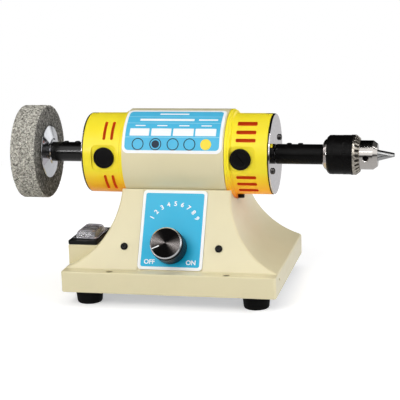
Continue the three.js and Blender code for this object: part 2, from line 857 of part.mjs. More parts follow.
// The switch's case with a pocket for the rocker and two blade terminals below
function switchBody() {
  const halfX = switchBodyWidth / 2;
  const halfY = switchBodyLength / 2;
  const low = bezelHeight - switchBodyDepth;
  const floor = bezelHeight - rockerHub - fit;
  const body = joined(
    block([-halfX, halfX], [-halfY, halfY], [low, bezelHeight]),
    ...[-terminalPitch / 2, terminalPitch / 2].map((y) => block(
      [-terminalWidth / 2, terminalWidth / 2],
      [y - terminalSheet / 2, y + terminalSheet / 2],
      [low - terminalLength, low + seat],
    )),
  );
  const pocket = block(
    [switchBodyWall - halfX, halfX - switchBodyWall],
    [switchBodyWall - halfY, halfY - switchBodyWall],
    [floor, bezelHeight + overrun],
  );
  return cutFrom(body, pocket);
}

// The rocker about its pivot: a round hub below and two arms that rise to their ends
function switchRocker() {
  const reach = switchBodyLength / 2 - switchBodyWall - 2 * fit - rockerDip;
  const shape = new THREE.Shape();
  shape.moveTo(reach, rockerEnd);
  shape.lineTo(0, rockerDip);
  shape.lineTo(-reach, rockerEnd);
  shape.lineTo(-reach, -rockerDip);
  shape.lineTo(-rockerHub, -rockerDip);
  const dipAngle = Math.asin(rockerDip / rockerHub);
  shape.absarc(0, 0, rockerHub, Math.PI + dipAngle, -dipAngle);
  shape.lineTo(reach, -rockerDip);
  shape.closePath();
  const half = switchBodyWidth / 2 - switchBodyWall - fit;
  return pushedX(shape, -half, half, cornerSteps);
}

// The clear splash cover: a tapered shell with a flange round its foot
function switchCover() {
  const outer = coverForm(0, coverHeight);
  const inner = coverForm(coverWall, coverHeight - coverWall);
  const below = block(
    [coverWall - coverWidth / 2, coverWidth / 2 - coverWall],
    [coverWall - coverLength / 2, coverLength / 2 - coverWall],
    [-overrun, seat],
  );
  const width = coverWidth + 2 * coverFlange;
  const length = coverLength + 2 * coverFlange;
  const flange = extruded(roundedRectangle(width, length, bezelCorner), coverWall);
  return cutFrom(joined(outer, flange), inner, below);
}

function coverForm(inset, height) {
  const half = [coverWidth / 2 - inset, coverLength / 2 - inset];
  const form = new THREE.BoxGeometry(2 * half[0], 2 * half[1], height).translate(0, 0, height / 2);
  const points = form.attributes.position;
  for (let i = 0; i < points.count; i += 1) {
    if (points.getZ(i) > height / 2) {
      points.setX(i, points.getX(i) * (1 - coverTaper / half[0]));
      points.setY(i, points.getY(i) * (1 - coverTaper / half[1]));
    }
  }
  return form;
}

// Distances along the motor axis from the drum's middle
const drumHalf = drumLength / 2;
const capEnd = drumHalf + capLength;
const gasketOut = capEnd + seat + gasketSheet;
const plateIn = gasketOut + seat;
const plateOut = plateIn + endPlateSheet;
const adaptorStart = plateOut + adaptorGap;
const drumBore = drumRadius - drumWall;
const pocketFloor = capRadius - pocketDepth;

// The drum between the two end bells
function motorDrum() {
  return turnedX([
    [-drumHalf, drumBore],
    [-drumHalf, drumRadius],
    [drumHalf, drumRadius],
    [drumHalf, drumBore],
  ]);
}

// The label band round the front of the drum
function labelBand() {
  const half = drumHalf - bandMargin;
  const inner = drumRadius + fit / 2;
  return hoopBlock(inner, inner + bandSheet, bandLow, bandHigh, -half, half, flareSteps);
}

// An end bell in its own outward frame: a spigot in the drum, a rim, flat pockets, plug seats and pillars
function endBell(side) {
  const inner = capRadius - capWall;
  const start = drumHalf + fit;
  const rim = side === 'right'
    ? [
      [start, flangeRadius],
      [start + flangeFlat, flangeRadius],
      [start + flangeWidth - fit, (flangeRadius + capRadius) / 2],
      [start + flangeWidth, capRadius],
    ]
    : [
      [start, lipRadius],
      [start + lipWidth - fit, lipRadius],
      [start + lipWidth, capRadius],
    ];
  const spigotInner = drumBore - fit - spigotWall;
  const shell = turnedX([
    [drumHalf - spigotLength, spigotInner],
    [drumHalf - spigotLength, drumBore - fit],
    [start, drumBore - fit],
    ...rim,
    [capEnd, capRadius],
    [capEnd, inner],
    [start + rimWeb, inner],
    [start + rimWeb, spigotInner],
  ]);
  const place = drumHalf + (side === 'right' ? brushPlace : blindPlace);
  const guideStart = side === 'right' ? brushGuideStart : inner - 2 * fit;
  const additions = [];
  const cuts = [];
  for (const turn of [0, Math.PI]) {
    const guideSpan = [-brushGuideHalf, brushGuideHalf];
    const holder = block(guideSpan, [-inner - seat, -guideStart], guideSpan);
    additions.push(raised(holder.translate(place, 0, 0), turn));
    const pocket = roundedRectangle(pocketLength, pocketHeight, pocketCorner);
    const pocketMiddle = place + pocketShift[side];
    const floor = pushedFront(pocket, pocketFloor, capRadius + overrun).translate(pocketMiddle, 0, 0);
    cuts.push(raised(floor, turn));
    if (side === 'right') {
      const guide = block(
        [-brushWidth / 2 - fit, brushWidth / 2 + fit],
        [-capRadius, 0],
        [-brushBreadth / 2 - fit, brushBreadth / 2 + fit],
      );
      cuts.push(raised(guide.translate(place, 0, 0), turn));
    }
  }
  for (const turn of [plateScrewAngle, plateScrewAngle + Math.PI]) {
    const across = [-pillarHalf, pillarHalf];
    const down = [-inner - seat, pillarHalf - plateScrewCircle];
    additions.push(raised(block([capEnd - pillarLength, capEnd], down, across), turn));
    const hole = rodX(plateScrewShank + fit, capEnd - pillarLength - overrun, capEnd + overrun, smallSides);
    cuts.push(raised(hole.translate(0, -plateScrewCircle, 0), turn));
  }
  if (side === 'right') {
    const peg = rodX(pegRadius, capEnd - seat, plateOut + pegReach, smallSides);
    const webDown = [-inner - seat, pegRadius - pegCircle];
    const web = block([capEnd - pillarLength, capEnd], webDown, [-pillarWeb / 2, pillarWeb / 2]);
    additions.push(raised(peg.translate(0, -pegCircle, 0), pegAngle), raised(web, pegAngle));
    const lugHole = rodY(lugShank + fit, -capRadius - overrun, -inner + overrun, smallSides);
    cuts.push(raised(lugHole.translate(drumHalf + lugPlace, 0, 0), lugAngle));
  }
  const notch = block(
    [capEnd - notchLength, capEnd + overrun],
    [-notchWidth / 2, notchWidth / 2],
    [inner - overrun, capRadius + overrun],
  );
  const slots = side === 'right' ? axialSlots() : hoopSlots();
  return cutFrom(joined(shell, ...additions), ...cuts, notch, ...slots);
}

// Slots along the axis above and below the brush caps, cut straight in from the front and the rear
function axialSlots() {
  const middle = drumHalf + axialSlotStart + axialSlotLength / 2;
  const slots = [];
  for (const degrees of axialSlotAngles) {
    for (const sign of [1, -1]) {
      for (const turn of [0, Math.PI]) {
        const shape = roundedRectangle(axialSlotLength, axialSlotHeight, axialSlotHeight / 3);
        const slot = pushedFront(shape, 0, capRadius + overrun, 1);
        slot.translate(middle, 0, sign * capRadius * Math.sin(degrees * degree));
        slots.push(raised(slot, turn));
      }
    }
  }
  return slots;
}

// Slots round the bell in pairs, above and below the plugs, front and rear
function hoopSlots() {
  const inner = capRadius - capWall - overrun / 2;
  const slots = [];
  for (const place of hoopSlotPlaces) {
    const middle = drumHalf + place;
    for (const turn of [0, Math.PI]) {
      for (const [from, to] of [[hoopSlotFrom, hoopSlotTo], [-hoopSlotTo, -hoopSlotFrom]]) {
        const ends = [middle - hoopSlotWidth / 2, middle + hoopSlotWidth / 2];
        slots.push(raised(hoopBlock(inner, capRadius + overrun, from, to, ...ends, 2), turn));
      }
    }
  }
  return slots;
}

// A round cap on a flat pocket, with a ring groove, or a sunk middle where it turns with a driver
function plug(side) {
  const low = pocketFloor + seat;
  const top = pocketFloor + plugHeight;
  const profile = [
    [low, 0],
    [low, plugRadius],
    [top, plugRadius],
    [top, plugRing + plugRingWidth],
    [top - plugRingDepth, plugRing + plugRingWidth],
    [top - plugRingDepth, side === 'right' ? 0 : plugRing],
  ];
  if (side === 'left') profile.push([top, plugRing], [top, 0]);
  return turnedZ(profile, mediumSides).rotateX(quarterTurn);
}

// A carbon brush that reaches from its guide to the commutator
function brush() {
  const inner = commutatorRadius + fit;
  return block(
    [-brushWidth / 2, brushWidth / 2],
    [-inner - brushLength, -inner],
    [-brushBreadth / 2, brushBreadth / 2],
  );
}

// The black gasket between a bell and its plate, with a tab that fills the bell's notch
function gasket() {
  const ring = turnedX([
    [capEnd + seat, capRadius - gasketWidth],
    [capEnd + seat, capRadius],
    [gasketOut, capRadius],
    [gasketOut, capRadius - gasketWidth],
  ], chuckSides);
  const half = notchWidth / 2 - fit;
  const tabUp = [capRadius - capWall, capRadius - fit];
  const tab = block([capEnd - notchLength + fit, gasketOut], [-half, half], tabUp);
  return joined(ring, tab);
}

// An end plate with the cup that holds the bearing
function endPlate(side) {
  const cupRadius = bearingRadius + fit + bearingCup;
  const cupDepth = plateIn - bearingWidth - fit;
  const disc = turnedX([[plateIn, 0], [plateIn, endPlateRadius], [plateOut, endPlateRadius], [plateOut, 0]]);
  const cup = turnedX([
    [cupDepth, bearingRadius + fit],
    [cupDepth, cupRadius],
    [plateIn + seat, cupRadius],
    [plateIn + seat, bearingRadius + fit],
  ], mediumSides);
  const shaftHole = rodX(shaftRadius + 2 * fit, plateIn - overrun, plateOut + overrun, smallSides);
  const holes = [plateScrewAngle, plateScrewAngle + Math.PI].map((turn) => {
    const hole = rodX(plateScrewShank + fit, plateIn - overrun, plateOut + overrun, smallSides);
    return raised(hole.translate(0, -plateScrewCircle, 0), turn);
  });
  if (side === 'right') {
    const hole = rodX(pegRadius + fit, plateIn - overrun, plateOut + overrun, smallSides);
    holes.push(raised(hole.translate(0, -pegCircle, 0), pegAngle));
  }
  return cutFrom(joined(disc, cup), shaftHole, ...holes);
}

// A pan-head screw along X in an end plate
function plateScrew() {
  const top = plateOut + seat;
  const edge = plateScrewHeadHeight / 3;
  return turnedX([
    [top - plateScrewLength, 0],
    [top - plateScrewLength, plateScrewShank],
    [top, plateScrewShank],
    [top, plateScrewHead],
    [top + edge, plateScrewHead],
    [top + 2 * edge, plateScrewHead - edge / 2],
    [top + 3 * edge, plateScrewHead - 2 * edge],
    [top + 3 * edge, 0],
  ], smallSides);
}

// The clamping screw under the right bell, pointing at the axis
function lugScrew() {
  const length = capWall + lugHeadHeight;
  return turnedZ([
    [capRadius - length, 0],
    [capRadius - length, lugShank],
    [capRadius + fit, lugShank],
    [capRadius + fit, lugHead],
    [capRadius + fit + lugHeadHeight, lugHead],
    [capRadius + fit + lugHeadHeight, 0],
  ], smallSides).rotateX(quarterTurn);
}

// The stator's laminated core: a yoke and two poles with wide shoes
function statorCore() {
  const half = statorLength / 2;
  const outer = drumBore - fit;
  const windowOuter = outer - yokeWall;
  const shoeOuter = poleBore + shoeDepth;
  const core = turnedX([[-half, poleBore], [-half, outer], [half, outer], [half, poleBore]], mediumSides);
  const ends = [-half - overrun, half + overrun];
  const cuts = [];
  for (const turn of [0, Math.PI]) {
    const side = quarterTurn - shoeAngle;
    cuts.push(raised(hoopBlock(poleBore - overrun, windowOuter, -side, side, ...ends, cornerSteps), turn));
    const window = quarterTurn - neckAngle;
    cuts.push(raised(hoopBlock(shoeOuter, windowOuter, -window, window, ...ends, 2 * cornerSteps), turn));
  }
  return cutFrom(core, ...cuts);
}

// A field coil round the neck of one pole
function fieldCoil() {
  const inner = poleBore + shoeDepth + fit;
  const outer = drumBore - fit - yokeWall - fit;
  const half = statorLength / 2 + coilOverhang;
  const gap = statorLength / 2 + fit;
  const wide = shoeAngle - fit / inner;
  const narrow = neckAngle + fit / inner;
  const whole = hoopBlock(inner, outer, -wide, wide, -half, half, 2 * cornerSteps);
  const neck = hoopBlock(inner - overrun, outer + overrun, -narrow, narrow, -gap, gap, cornerSteps);
  return cutFrom(whole, neck);
}

// The rotor's core with open slots
function rotorCore() {
  const half = statorLength / 2;
  const core = turnedX([
    [-half, shaftRadius + fit],
    [-half, rotorRadius],
    [half, rotorRadius],
    [half, shaftRadius + fit],
  ], 2 * rotorTeeth);
  const slots = rotorTurns().map((turn) => {
    const slot = block(
      [-half - overrun, half + overrun],
      [-rotorRadius - overrun, rotorSlotDepth - rotorRadius],
      [-rotorSlotWidth / 2, rotorSlotWidth / 2],
    );
    return raised(slot, turn);
  });
  return cutFrom(core, ...slots);
}

function rotorTurns() {
  return Array.from({ length: rotorTeeth }, (_, i) => (2 * Math.PI * i) / rotorTeeth);
}

// The rotor's winding: a bar in each slot and a rounded head at both ends
function rotorWinding() {
  const half = statorLength / 2;
  const bottom = rotorRadius - rotorSlotDepth + fit;
  const bars = rotorTurns().map((turn) => {
    const bar = block(
      [-half - windingOverhang / 2, half + windingOverhang / 2],
      [fit - rotorRadius, -bottom],
      [fit - rotorSlotWidth / 2, rotorSlotWidth / 2 - fit],
    );
    return raised(bar, turn);
  });
  const heads = [-1, 1].map((side) => {
    const near = side * (half + fit);
    const far = side * (half + windingOverhang);
    return turnedX([
      [near, shaftRadius + 2 * fit],
      [near, rotorRadius - fit],
      [far, bottom],
      [far, shaftRadius + 2 * fit],
    ], rotorTeeth);
  });
  return joined(...heads, ...bars);
}

const commutatorMiddle = drumHalf + brushPlace;

// The commutator: copper bars parted by slots, with a raised collar towards the winding
function commutator() {
  const from = commutatorMiddle - commutatorLength / 2;
  const to = commutatorMiddle + commutatorLength / 2;
  const barrel = turnedX([
    [from - riserLength, shaftRadius + 2 * fit],
    [from - riserLength, riserRadius],
    [from, riserRadius],
    [from, commutatorRadius],
    [to, commutatorRadius],
    [to, shaftRadius + 2 * fit],
  ], commutatorBars);
  const slots = Array.from({ length: commutatorBars }, (_, i) => {
    const slot = block(
      [from - riserLength - overrun, to + overrun],
      [-riserRadius - overrun, commutatorSlotDepth - commutatorRadius],
      [-commutatorSlot / 2, commutatorSlot / 2],
    );
    return raised(slot, (2 * Math.PI * i) / commutatorBars);
  });
  return cutFrom(barrel, ...slots);
}

// The cooling fan: a hub, a disc and leaning blades
function fan() {
  const back = fanDepth - fanPlace;
  const disc = turnedX([
    [-fanPlace, shaftRadius + fit],
    [-fanPlace, fanHub],
    [back - fanDisc, fanHub],
    [back - fanDisc, fanRadius],
    [back, fanRadius],
    [back, shaftRadius + fit],
  ], mediumSides);
  const blades = Array.from({ length: fanBlades }, (_, i) => {
    const reach = fanRadius - fanHub;
    const blade = block(
      [-fanPlace, back - seat],
      [-reach - fit, fit],
      [-fanBladeSheet / 2, fanBladeSheet / 2],
    );
    blade.rotateX(fanBladeLean).translate(0, fit - fanHub, 0);
    return raised(blade, (2 * Math.PI * i) / fanBlades);
  });
  const limit = rodX(fanRadius, -fanPlace, back, mediumSides);
  return joined(disc, ...blades).intersect(solid(limit));
}

const shaftGrip = shaftGripShare * leftAdaptorLength;

function rotorShaft() {
  const half = adaptorStart + shaftGrip;
  return turnedX([
    [-half, 0],
    [-half, shaftRadius - fit],
    [fit - half, shaftRadius],
    [half - fit, shaftRadius],
    [half, shaftRadius - fit],
    [half, 0],
  ], mediumSides);
}

// A sealed ball bearing in its cup
function bearing() {
  return turnedX([
    [plateIn - seat - bearingWidth, shaftRadius + fit],
    [plateIn - seat - bearingWidth, bearingRadius],
    [plateIn - seat, bearingRadius],
    [plateIn - seat, shaftRadius + fit],
  ], mediumSides);
}

// Set screw heads that stand out of an adaptor's top, turned into its wall
function setScrews(side) {
  return setScrewPlaces[side].map((place) => {
    const top = adaptorRadius + setScrewReach;
    const x = side === 'right' ? adaptorStart + place : -adaptorStart - place;
    return rodZ(setScrewRadius, shaftRadius + 2 * fit, top, smallSides).translate(x, 0, 0);
  });
}

const rightAdaptorEnd = adaptorStart + rightAdaptorLength;
const chuckBack = rightAdaptorEnd + seat;

// The chuck's adaptor: a sleeve on the shaft and a taper for the chuck
function rightAdaptor() {
  const grip = adaptorStart + shaftGrip + fit;
  const sleeve = turnedX([
    [grip, 0],
    [grip, shaftRadius + fit],
    [adaptorStart, shaftRadius + fit],
    [adaptorStart, adaptorRadius - adaptorEdge],
    [adaptorStart + adaptorEdge, adaptorRadius],
    [rightAdaptorEnd, adaptorRadius],
    [rightAdaptorEnd, taperRadius],
    [chuckBack + taperLength, taperRadius - taperDrop],
    [chuckBack + taperLength, 0],
  ], mediumSides);
  return joined(sleeve, ...setScrews('right'));
}

const leftShoulder = adaptorStart + leftAdaptorLength;
const wheelNear = leftShoulder + seat + innerFlangeHub + seat;
const wheelFar = wheelNear + wheelThickness;
const outerFlangeFar = wheelFar + seat + outerFlangeThickness;
const arborNutFar = outerFlangeFar + seat + arborNutHeight;
const arborTip = arborNutFar + arborEnd;

// The wheel's adaptor: a sleeve on the shaft and an arbor for wheel, flanges and nut
function leftAdaptor() {
  const grip = adaptorStart + shaftGrip + fit;
  const sleeve = turnedX([
    [-grip, 0],
    [-grip, shaftRadius + fit],
    [-adaptorStart, shaftRadius + fit],
    [-adaptorStart, adaptorRadius - adaptorEdge],
    [-adaptorStart - adaptorEdge, adaptorRadius],
    [-leftShoulder, adaptorRadius],
    [-leftShoulder, arborRadius],
    [arborEnd - arborTip, arborRadius],
    [-arborTip, arborRadius - arborEnd],
    [-arborTip, 0],
  ], mediumSides);
  return joined(sleeve, ...setScrews('left'));
}

// The dished flange on the motor side of the wheel
function innerFlange() {
  const near = -leftShoulder - seat;
  const far = seat - wheelNear;
  const bore = arborRadius + fit;
  return turnedX([
    [near, bore],
    [near, adaptorRadius + innerFlangeRim],
    [far + innerFlangeDish, innerFlangeStep - innerFlangeRim],
    [far + innerFlangeDish, innerFlangeStep],
    [far + innerFlangeRim, innerFlangeRadius - innerFlangeRim],
    [far + innerFlangeRim, innerFlangeRadius],
    [far, innerFlangeRadius],
    [far, innerFlangeStep],
    [far + flangeHollow, innerFlangeStep - flangeHollow],
    [far + flangeHollow, bore],
  ], chuckSides);
}

function abrasiveWheel() {
  return turnedX([
    [-wheelFar, arborRadius + fit],
    [-wheelFar, wheelRadius - wheelEdge],
    [wheelEdge - wheelFar, wheelRadius],
    [-wheelNear - wheelEdge, wheelRadius],
    [-wheelNear, wheelRadius - wheelEdge],
    [-wheelNear, arborRadius + fit],
  ]);
}

function outerFlange() {
  return turnedX([
    [-outerFlangeFar, arborRadius + fit],
    [-outerFlangeFar, innerFlangeRadius - outerFlangeThickness],
    [flangeHollow - wheelFar - outerFlangeThickness, innerFlangeRadius],
    [-wheelFar - seat, innerFlangeRadius],
    [-wheelFar - seat, innerFlangeStep],
    [-wheelFar - flangeHollow, innerFlangeStep],
    [-wheelFar - flangeHollow, arborRadius + fit],
  ], chuckSides);
}

function arborNut() {
  const nut = new THREE.CylinderGeometry(arborNutRadius, arborNutRadius, arborNutHeight, 6);
  nut.rotateZ(-quarterTurn).translate(arborNutHeight / 2 - arborNutFar, 0, 0);
  return cutFrom(nut, rodX(arborRadius + fit, -arborNutFar - overrun, overrun - outerFlangeFar));
}

// Chuck geometry: the jaws lean in along three bores and meet at the tip
const jawTip = chuckBodyLength + jawReach;
const jawSlant = Math.tan(jawAngle);
const jawCross = jawTip - (jawRadius / Math.cos(jawAngle) - jawTipRadius) / jawSlant;
const jawFrontReach = (jawTip - jawCross) / Math.cos(jawAngle) + jawRadius * jawSlant;
const jawBackReach = jawLength - (jawTip - jawCross) / Math.cos(jawAngle);
const jawOuter = (x) => jawTipRadius + (jawTip - x) * jawSlant;
const nutRingStart = gearStart - seat;
const nutRingEnd = nutRingStart + nutRingLength;
const chuckTurns = Array.from({ length: jawCount }, (_, i) => keyHoleAngle + (2 * Math.PI * i) / jawCount);

// A rod along a jaw's bore, leaning out to the front as it goes back
function jawRod(radius, front, back, sides) {
  const rod = rodX(radius, -back, front, sides);
  return rod.rotateZ(jawAngle).translate(jawCross, 0, 0);
}

// The chuck's body: a nose with key holes, a groove for the nut, jaw bores and a taper socket
function chuckBody() {
  const blank = turnedX([
    [0, taperRadius + fit],
    [0, chuckBackRadius],
    [chuckConeLength, chuckRimRadius],
    [nutRingStart - fit, chuckRimRadius],
    [nutRingStart - fit, grooveRadius],
    [nutRingEnd + fit, grooveRadius],
    [nutRingEnd + fit, noseRadius],
    [chuckBodyLength - noseChamferLength, noseRadius],
    [chuckBodyLength, noseFaceRadius],
    [chuckBodyLength, 0],
    [taperLength + 2 * fit, 0],
    [taperLength + 2 * fit, taperRadius - taperDrop + fit],
  ], chuckSides);
  const cuts = [];
  for (const turn of chuckTurns) {
    const boreBack = jawBackReach + jawTravel + fit;
    const bore = jawRod(jawRadius + fit, jawFrontReach + overrun, boreBack, smallSides);
    cuts.push(raised(bore, turn + Math.PI / jawCount));
    const hole = rodY(keyHoleRadius, -noseRadius - overrun, keyHoleDepth - noseRadius, smallSides);
    cuts.push(raised(hole.translate(keyHolePlace, 0, 0), turn));
  }
  return cutFrom(blank, ...cuts);
}

// The outer sleeve with bevel teeth round its front edge
function chuckSleeve() {
  const rear = chuckConeLength + fit;
  const lip = nutRingEnd + seat;
  const blank = turnedX([
    [rear, chuckRimRadius + fit],
    [rear, sleeveRearRadius],
    [rear + sleeveChamferLength, sleeveRadius],
    [gearStart, sleeveRadius],
    [gearStart, gearRadius],
    [gearConeStart, gearRadius],
    [sleeveFront, gearFrontRadius],
    [sleeveFront, noseRadius + fit],
    [lip, noseRadius + fit],
    [lip, sleeveBore],
    [rear + sleeveLipLength, sleeveBore],
    [rear + sleeveLipLength, chuckRimRadius + fit],
  ], chuckSides);
  const run = sleeveFront - gearConeStart;
  const drop = gearRadius - gearFrontRadius;
  const slope = Math.atan2(drop, run);
  const length = Math.hypot(run, drop);
  const gap = new THREE.Shape();
  gap.moveTo(-toothWidth / 2, seat);
  gap.lineTo(0, -toothDepth);
  gap.lineTo(toothWidth / 2, seat);
  gap.lineTo(toothWidth / 2, overrun / 2);
  gap.lineTo(-toothWidth / 2, overrun / 2);
  gap.closePath();
  const teeth = Array.from({ length: gearTeeth }, (_, i) => {
    const cutter = extruded(gap, length + overrun).applyMatrix4(alongX);
    cutter.rotateY(slope);
    cutter.translate(gearConeStart - toothDepth * Math.sin(slope), 0, gearRadius);
    return cutter.rotateX((2 * Math.PI * (i + 1 / 2)) / gearTeeth);
  });
  return cutFrom(blank, ...teeth);
}

// The nut ring that drives the jaws, with a bore that follows their slant
function nutRing() {
  const clear = fit / Math.cos(jawAngle);
  return turnedX([
    [nutRingStart, jawOuter(nutRingStart) + clear],
    [nutRingStart, sleeveBore - fit],
    [nutRingEnd, sleeveBore - fit],
    [nutRingEnd, jawOuter(nutRingEnd) + clear],
  ], chuckSides);
}

// One jaw: a slanted rod, cut to its third of the circle and square at the tip
function jaw(turn) {
  const rod = solid(jawRod(jawRadius, jawFrontReach, jawBackReach, smallSides));
  const reach = jawTip + overrun;
  const half = Math.PI / jawCount;
  const wedge = new THREE.Shape();
  wedge.moveTo(-jawGap, 0);
  wedge.lineTo(-jawGap - reach, reach * Math.tan(half));
  wedge.lineTo(-jawGap - reach, -reach * Math.tan(half));
  wedge.closePath();
  const third = solid(pushedX(wedge, 0, jawTip));
  const form = rod.intersect(third);
  return raised3(form, turn + half);
}

function raised3(form, angle) {
  return form.rotate([-angle / degree, 0, 0]);
}

const object = new THREE.Group();
const base = new THREE.Group();
const face = new THREE.Group();
const switchUnit = new THREE.Group();
const rockerUnit = new THREE.Group();
const motor = new THREE.Group();
const spindle = new THREE.Group();
const chuck = new THREE.Group();
const ends = { right: new THREE.Group(), left: new THREE.Group() };

// The origin is below the middle of the whole object's box
const farLeft = -arborTip;
const farRight = chuckBack + jawTip;
const knobEdge = knobRise - knobRadius + fluteDepth + knobChamfer;
const farFront = -faceFoot + knobEdge * Math.sin(faceSlope) - knobHeight * Math.cos(faceSlope);
const farBack = baseDepth / 2 + inletFlange;
object.position.set(-(farLeft + farRight) / 2, -(farFront + farBack) / 2, 0);
object.add(base, face, switchUnit, motor, spindle);

face.position.set(0, -faceFoot, skirtTop);
face.rotation.x = quarterTurn - faceSlope;
switchUnit.position.set(switchMiddleX, switchMiddleY, switchBoxTop);
switchUnit.add(rockerUnit);
rockerUnit.position.z = bezelHeight;
rockerUnit.rotation.x = rockerTilt;
motor.position.z = axisHeight;
motor.rotation.x = -motorTurn;
ends.left.rotation.z = Math.PI;
motor.add(ends.left, ends.right);
spindle.position.z = axisHeight;
spindle.add(chuck);
chuck.position.x = chuckBack;

base.add(piece('base_shell', baseShell(), 'cream'));
base.add(piece('bottom_plate', bottomPlate(), 'steel'));
const footNames = ['front_left', 'rear_left', 'front_right', 'rear_right'];
footPlaces.forEach(([x, y], i) => {
  const mesh = piece(`foot_${footNames[i]}`, foot(), 'blackRubber');
  mesh.position.set(x, y, 0);
  base.add(mesh);
});
const inletMesh = piece('cord_inlet', cordInlet(), 'blackRubber');
inletMesh.position.set(inletPlace, baseDepth / 2, inletHeight);
const boardMesh = piece('control_board', controlBoard(), 'board');
boardMesh.position.set(boardPlaceX, boardPlaceY, 0);
base.add(inletMesh, boardMesh);

const knobMeshes = [
  piece('speed_knob', speedKnob(), 'blackOxide'),
  piece('pot_shaft', potShaft(), 'steel'),
  piece('pot_body', potBody(), 'steel'),
];
for (const mesh of knobMeshes) mesh.position.y = knobRise;
face.add(piece('front_panel', frontPanel(), 'labelBlue'), ...knobMeshes);
for (const [side, sign] of [['left', -1], ['right', 1]]) {
  const onSlope = piece(`face_screw_${side}`, faceScrew(), 'blackOxide');
  onSlope.position.set(sign * faceScrewSpacing / 2, faceScrewRise, 0);
  face.add(onSlope);
  const onLedge = piece(`ledge_screw_${side}`, ledgeScrew(), 'steel');
  onLedge.position.set(sign * ledgeScrewSpacing / 2, ledgeScrewInset - baseDepth / 2, 0);
  base.add(onLedge);
}

switchUnit.add(piece('switch_bezel', switchBezel(), 'blackPlastic'));
switchUnit.add(piece('switch_body', switchBody(), 'blackPlastic'));
rockerUnit.add(piece('switch_rocker', switchRocker(), 'blackPlastic'));
const coverMesh = piece('switch_cover', switchCover(), 'clearPlastic');
coverMesh.position.z = bezelHeight + seat;
switchUnit.add(coverMesh);

motor.add(piece('motor_drum', motorDrum(), 'cream'));
motor.add(piece('label_band', labelBand(), 'labelBlue'));
motor.add(piece('stator_core', statorCore(), 'steel'));
for (const [name, turn] of [['upper', quarterTurn], ['lower', -quarterTurn]]) {
  const coil = piece(`field_coil_${name}`, fieldCoil(), 'enamelWire');
  coil.rotation.x = -turn;
  motor.add(coil);
}
for (const side of ['left', 'right']) {
  const end = ends[side];
  end.add(piece(`${side}_end_bell`, endBell(side), 'yellow'));
  end.add(piece(`${side}_gasket`, gasket(), 'blackRubber'));
  end.add(piece(`${side}_end_plate`, endPlate(side), 'greyPlate'));
  end.add(piece(`${side}_bearing`, bearing(), 'brightSteel'));
  const place = drumHalf + (side === 'right' ? brushPlace : blindPlace);
  for (const [where, turn] of [['front', 0], ['rear', Math.PI]]) {
    const name = side === 'right' ? `brush_cap_${where}` : `blind_plug_${where}`;
    const plugMesh = piece(name, plug(side), 'blackPlastic');
    plugMesh.position.x = place;
    plugMesh.rotation.x = side === 'left' ? Math.PI - turn : turn;
    end.add(plugMesh);
    if (side === 'right') {
      const brushMesh = piece(`carbon_brush_${where}`, brush(), 'carbon');
      brushMesh.position.x = place;
      brushMesh.rotation.x = turn;
      end.add(brushMesh);
    }
  }
}
for (const [name, turn] of [['lower', plateScrewAngle], ['upper', plateScrewAngle + Math.PI]]) {
  const screw = piece(`plate_screw_${name}`, plateScrew(), 'brightSteel');
  screw.position.set(0, -plateScrewCircle * Math.cos(turn), plateScrewCircle * Math.sin(turn));
  ends.right.add(screw);
}
const lugMesh = piece('bell_clamp_screw', lugScrew(), 'blackOxide');
lugMesh.position.x = drumHalf + lugPlace;
lugMesh.rotation.x = -lugAngle;
ends.right.add(lugMesh);

spindle.add(piece('rotor_core', rotorCore(), 'steel'));
spindle.add(piece('rotor_winding', rotorWinding(), 'enamelWire'));
spindle.add(piece('commutator', commutator(), 'copper'));
spindle.add(piece('cooling_fan', fan(), 'blackPlastic'));
spindle.add(piece('rotor_shaft', rotorShaft(), 'steel'));
spindle.add(piece('left_adaptor', leftAdaptor(), 'blackOxide'));
spindle.add(piece('right_adaptor', rightAdaptor(), 'blackOxide'));
spindle.add(piece('inner_flange', innerFlange(), 'brightSteel'));
spindle.add(piece('buffing_wheel', abrasiveWheel(), 'abrasive'));
spindle.add(piece('outer_flange', outerFlange(), 'brightSteel'));
spindle.add(piece('arbor_nut', arborNut(), 'steel'));

chuck.add(piece('chuck_body', chuckBody(), 'brightSteel'));
chuck.add(piece('chuck_sleeve', chuckSleeve(), 'blackOxide'));
chuck.add(piece('chuck_nut_ring', nutRing(), 'steel'));
chuckTurns.forEach((turn, i) => {
  chuck.add(piece(`chuck_jaw_${i + 1}`, jaw(turn), 'steel'));
});

export default object;
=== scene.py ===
from math import asin, atan2, cos, hypot, pi, radians, sin, sqrt, tan

import bmesh
import bpy
from mathutils import Matrix, Vector, noise


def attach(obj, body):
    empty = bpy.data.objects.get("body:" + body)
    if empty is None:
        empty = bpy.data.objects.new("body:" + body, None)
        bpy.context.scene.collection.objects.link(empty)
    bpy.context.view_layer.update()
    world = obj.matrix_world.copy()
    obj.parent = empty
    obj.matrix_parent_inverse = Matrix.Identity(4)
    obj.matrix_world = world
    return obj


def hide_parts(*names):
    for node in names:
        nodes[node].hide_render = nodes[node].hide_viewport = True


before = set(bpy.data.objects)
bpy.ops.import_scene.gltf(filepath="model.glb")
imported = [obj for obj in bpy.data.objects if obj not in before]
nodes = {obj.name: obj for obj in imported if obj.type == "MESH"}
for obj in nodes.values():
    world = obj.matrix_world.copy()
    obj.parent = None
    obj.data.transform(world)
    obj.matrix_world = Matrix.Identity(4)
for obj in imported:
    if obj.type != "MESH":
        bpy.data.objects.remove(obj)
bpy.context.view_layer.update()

MM = 0.001
WHITE = (1.0, 1.0, 1.0, 1.0)

# The casing's middle across, the motor axis, and the small turn of the motor in its cradle
MIDDLE = -12.3
DEPTH = 0.623
AXIS_Z = 108.5
TURN = 2.0

# The casing: its sloping face, the foot and top of the pedestal and the rear of the skirt
SLOPE = radians(27.7)
FACE_FOOT = -56.577
REAR = 68.023
SKIRT_TOP = 27.7
PEDESTAL_TOP = 84.6
TOP_HALF = 43.4
FOOT_HALF = 83.7

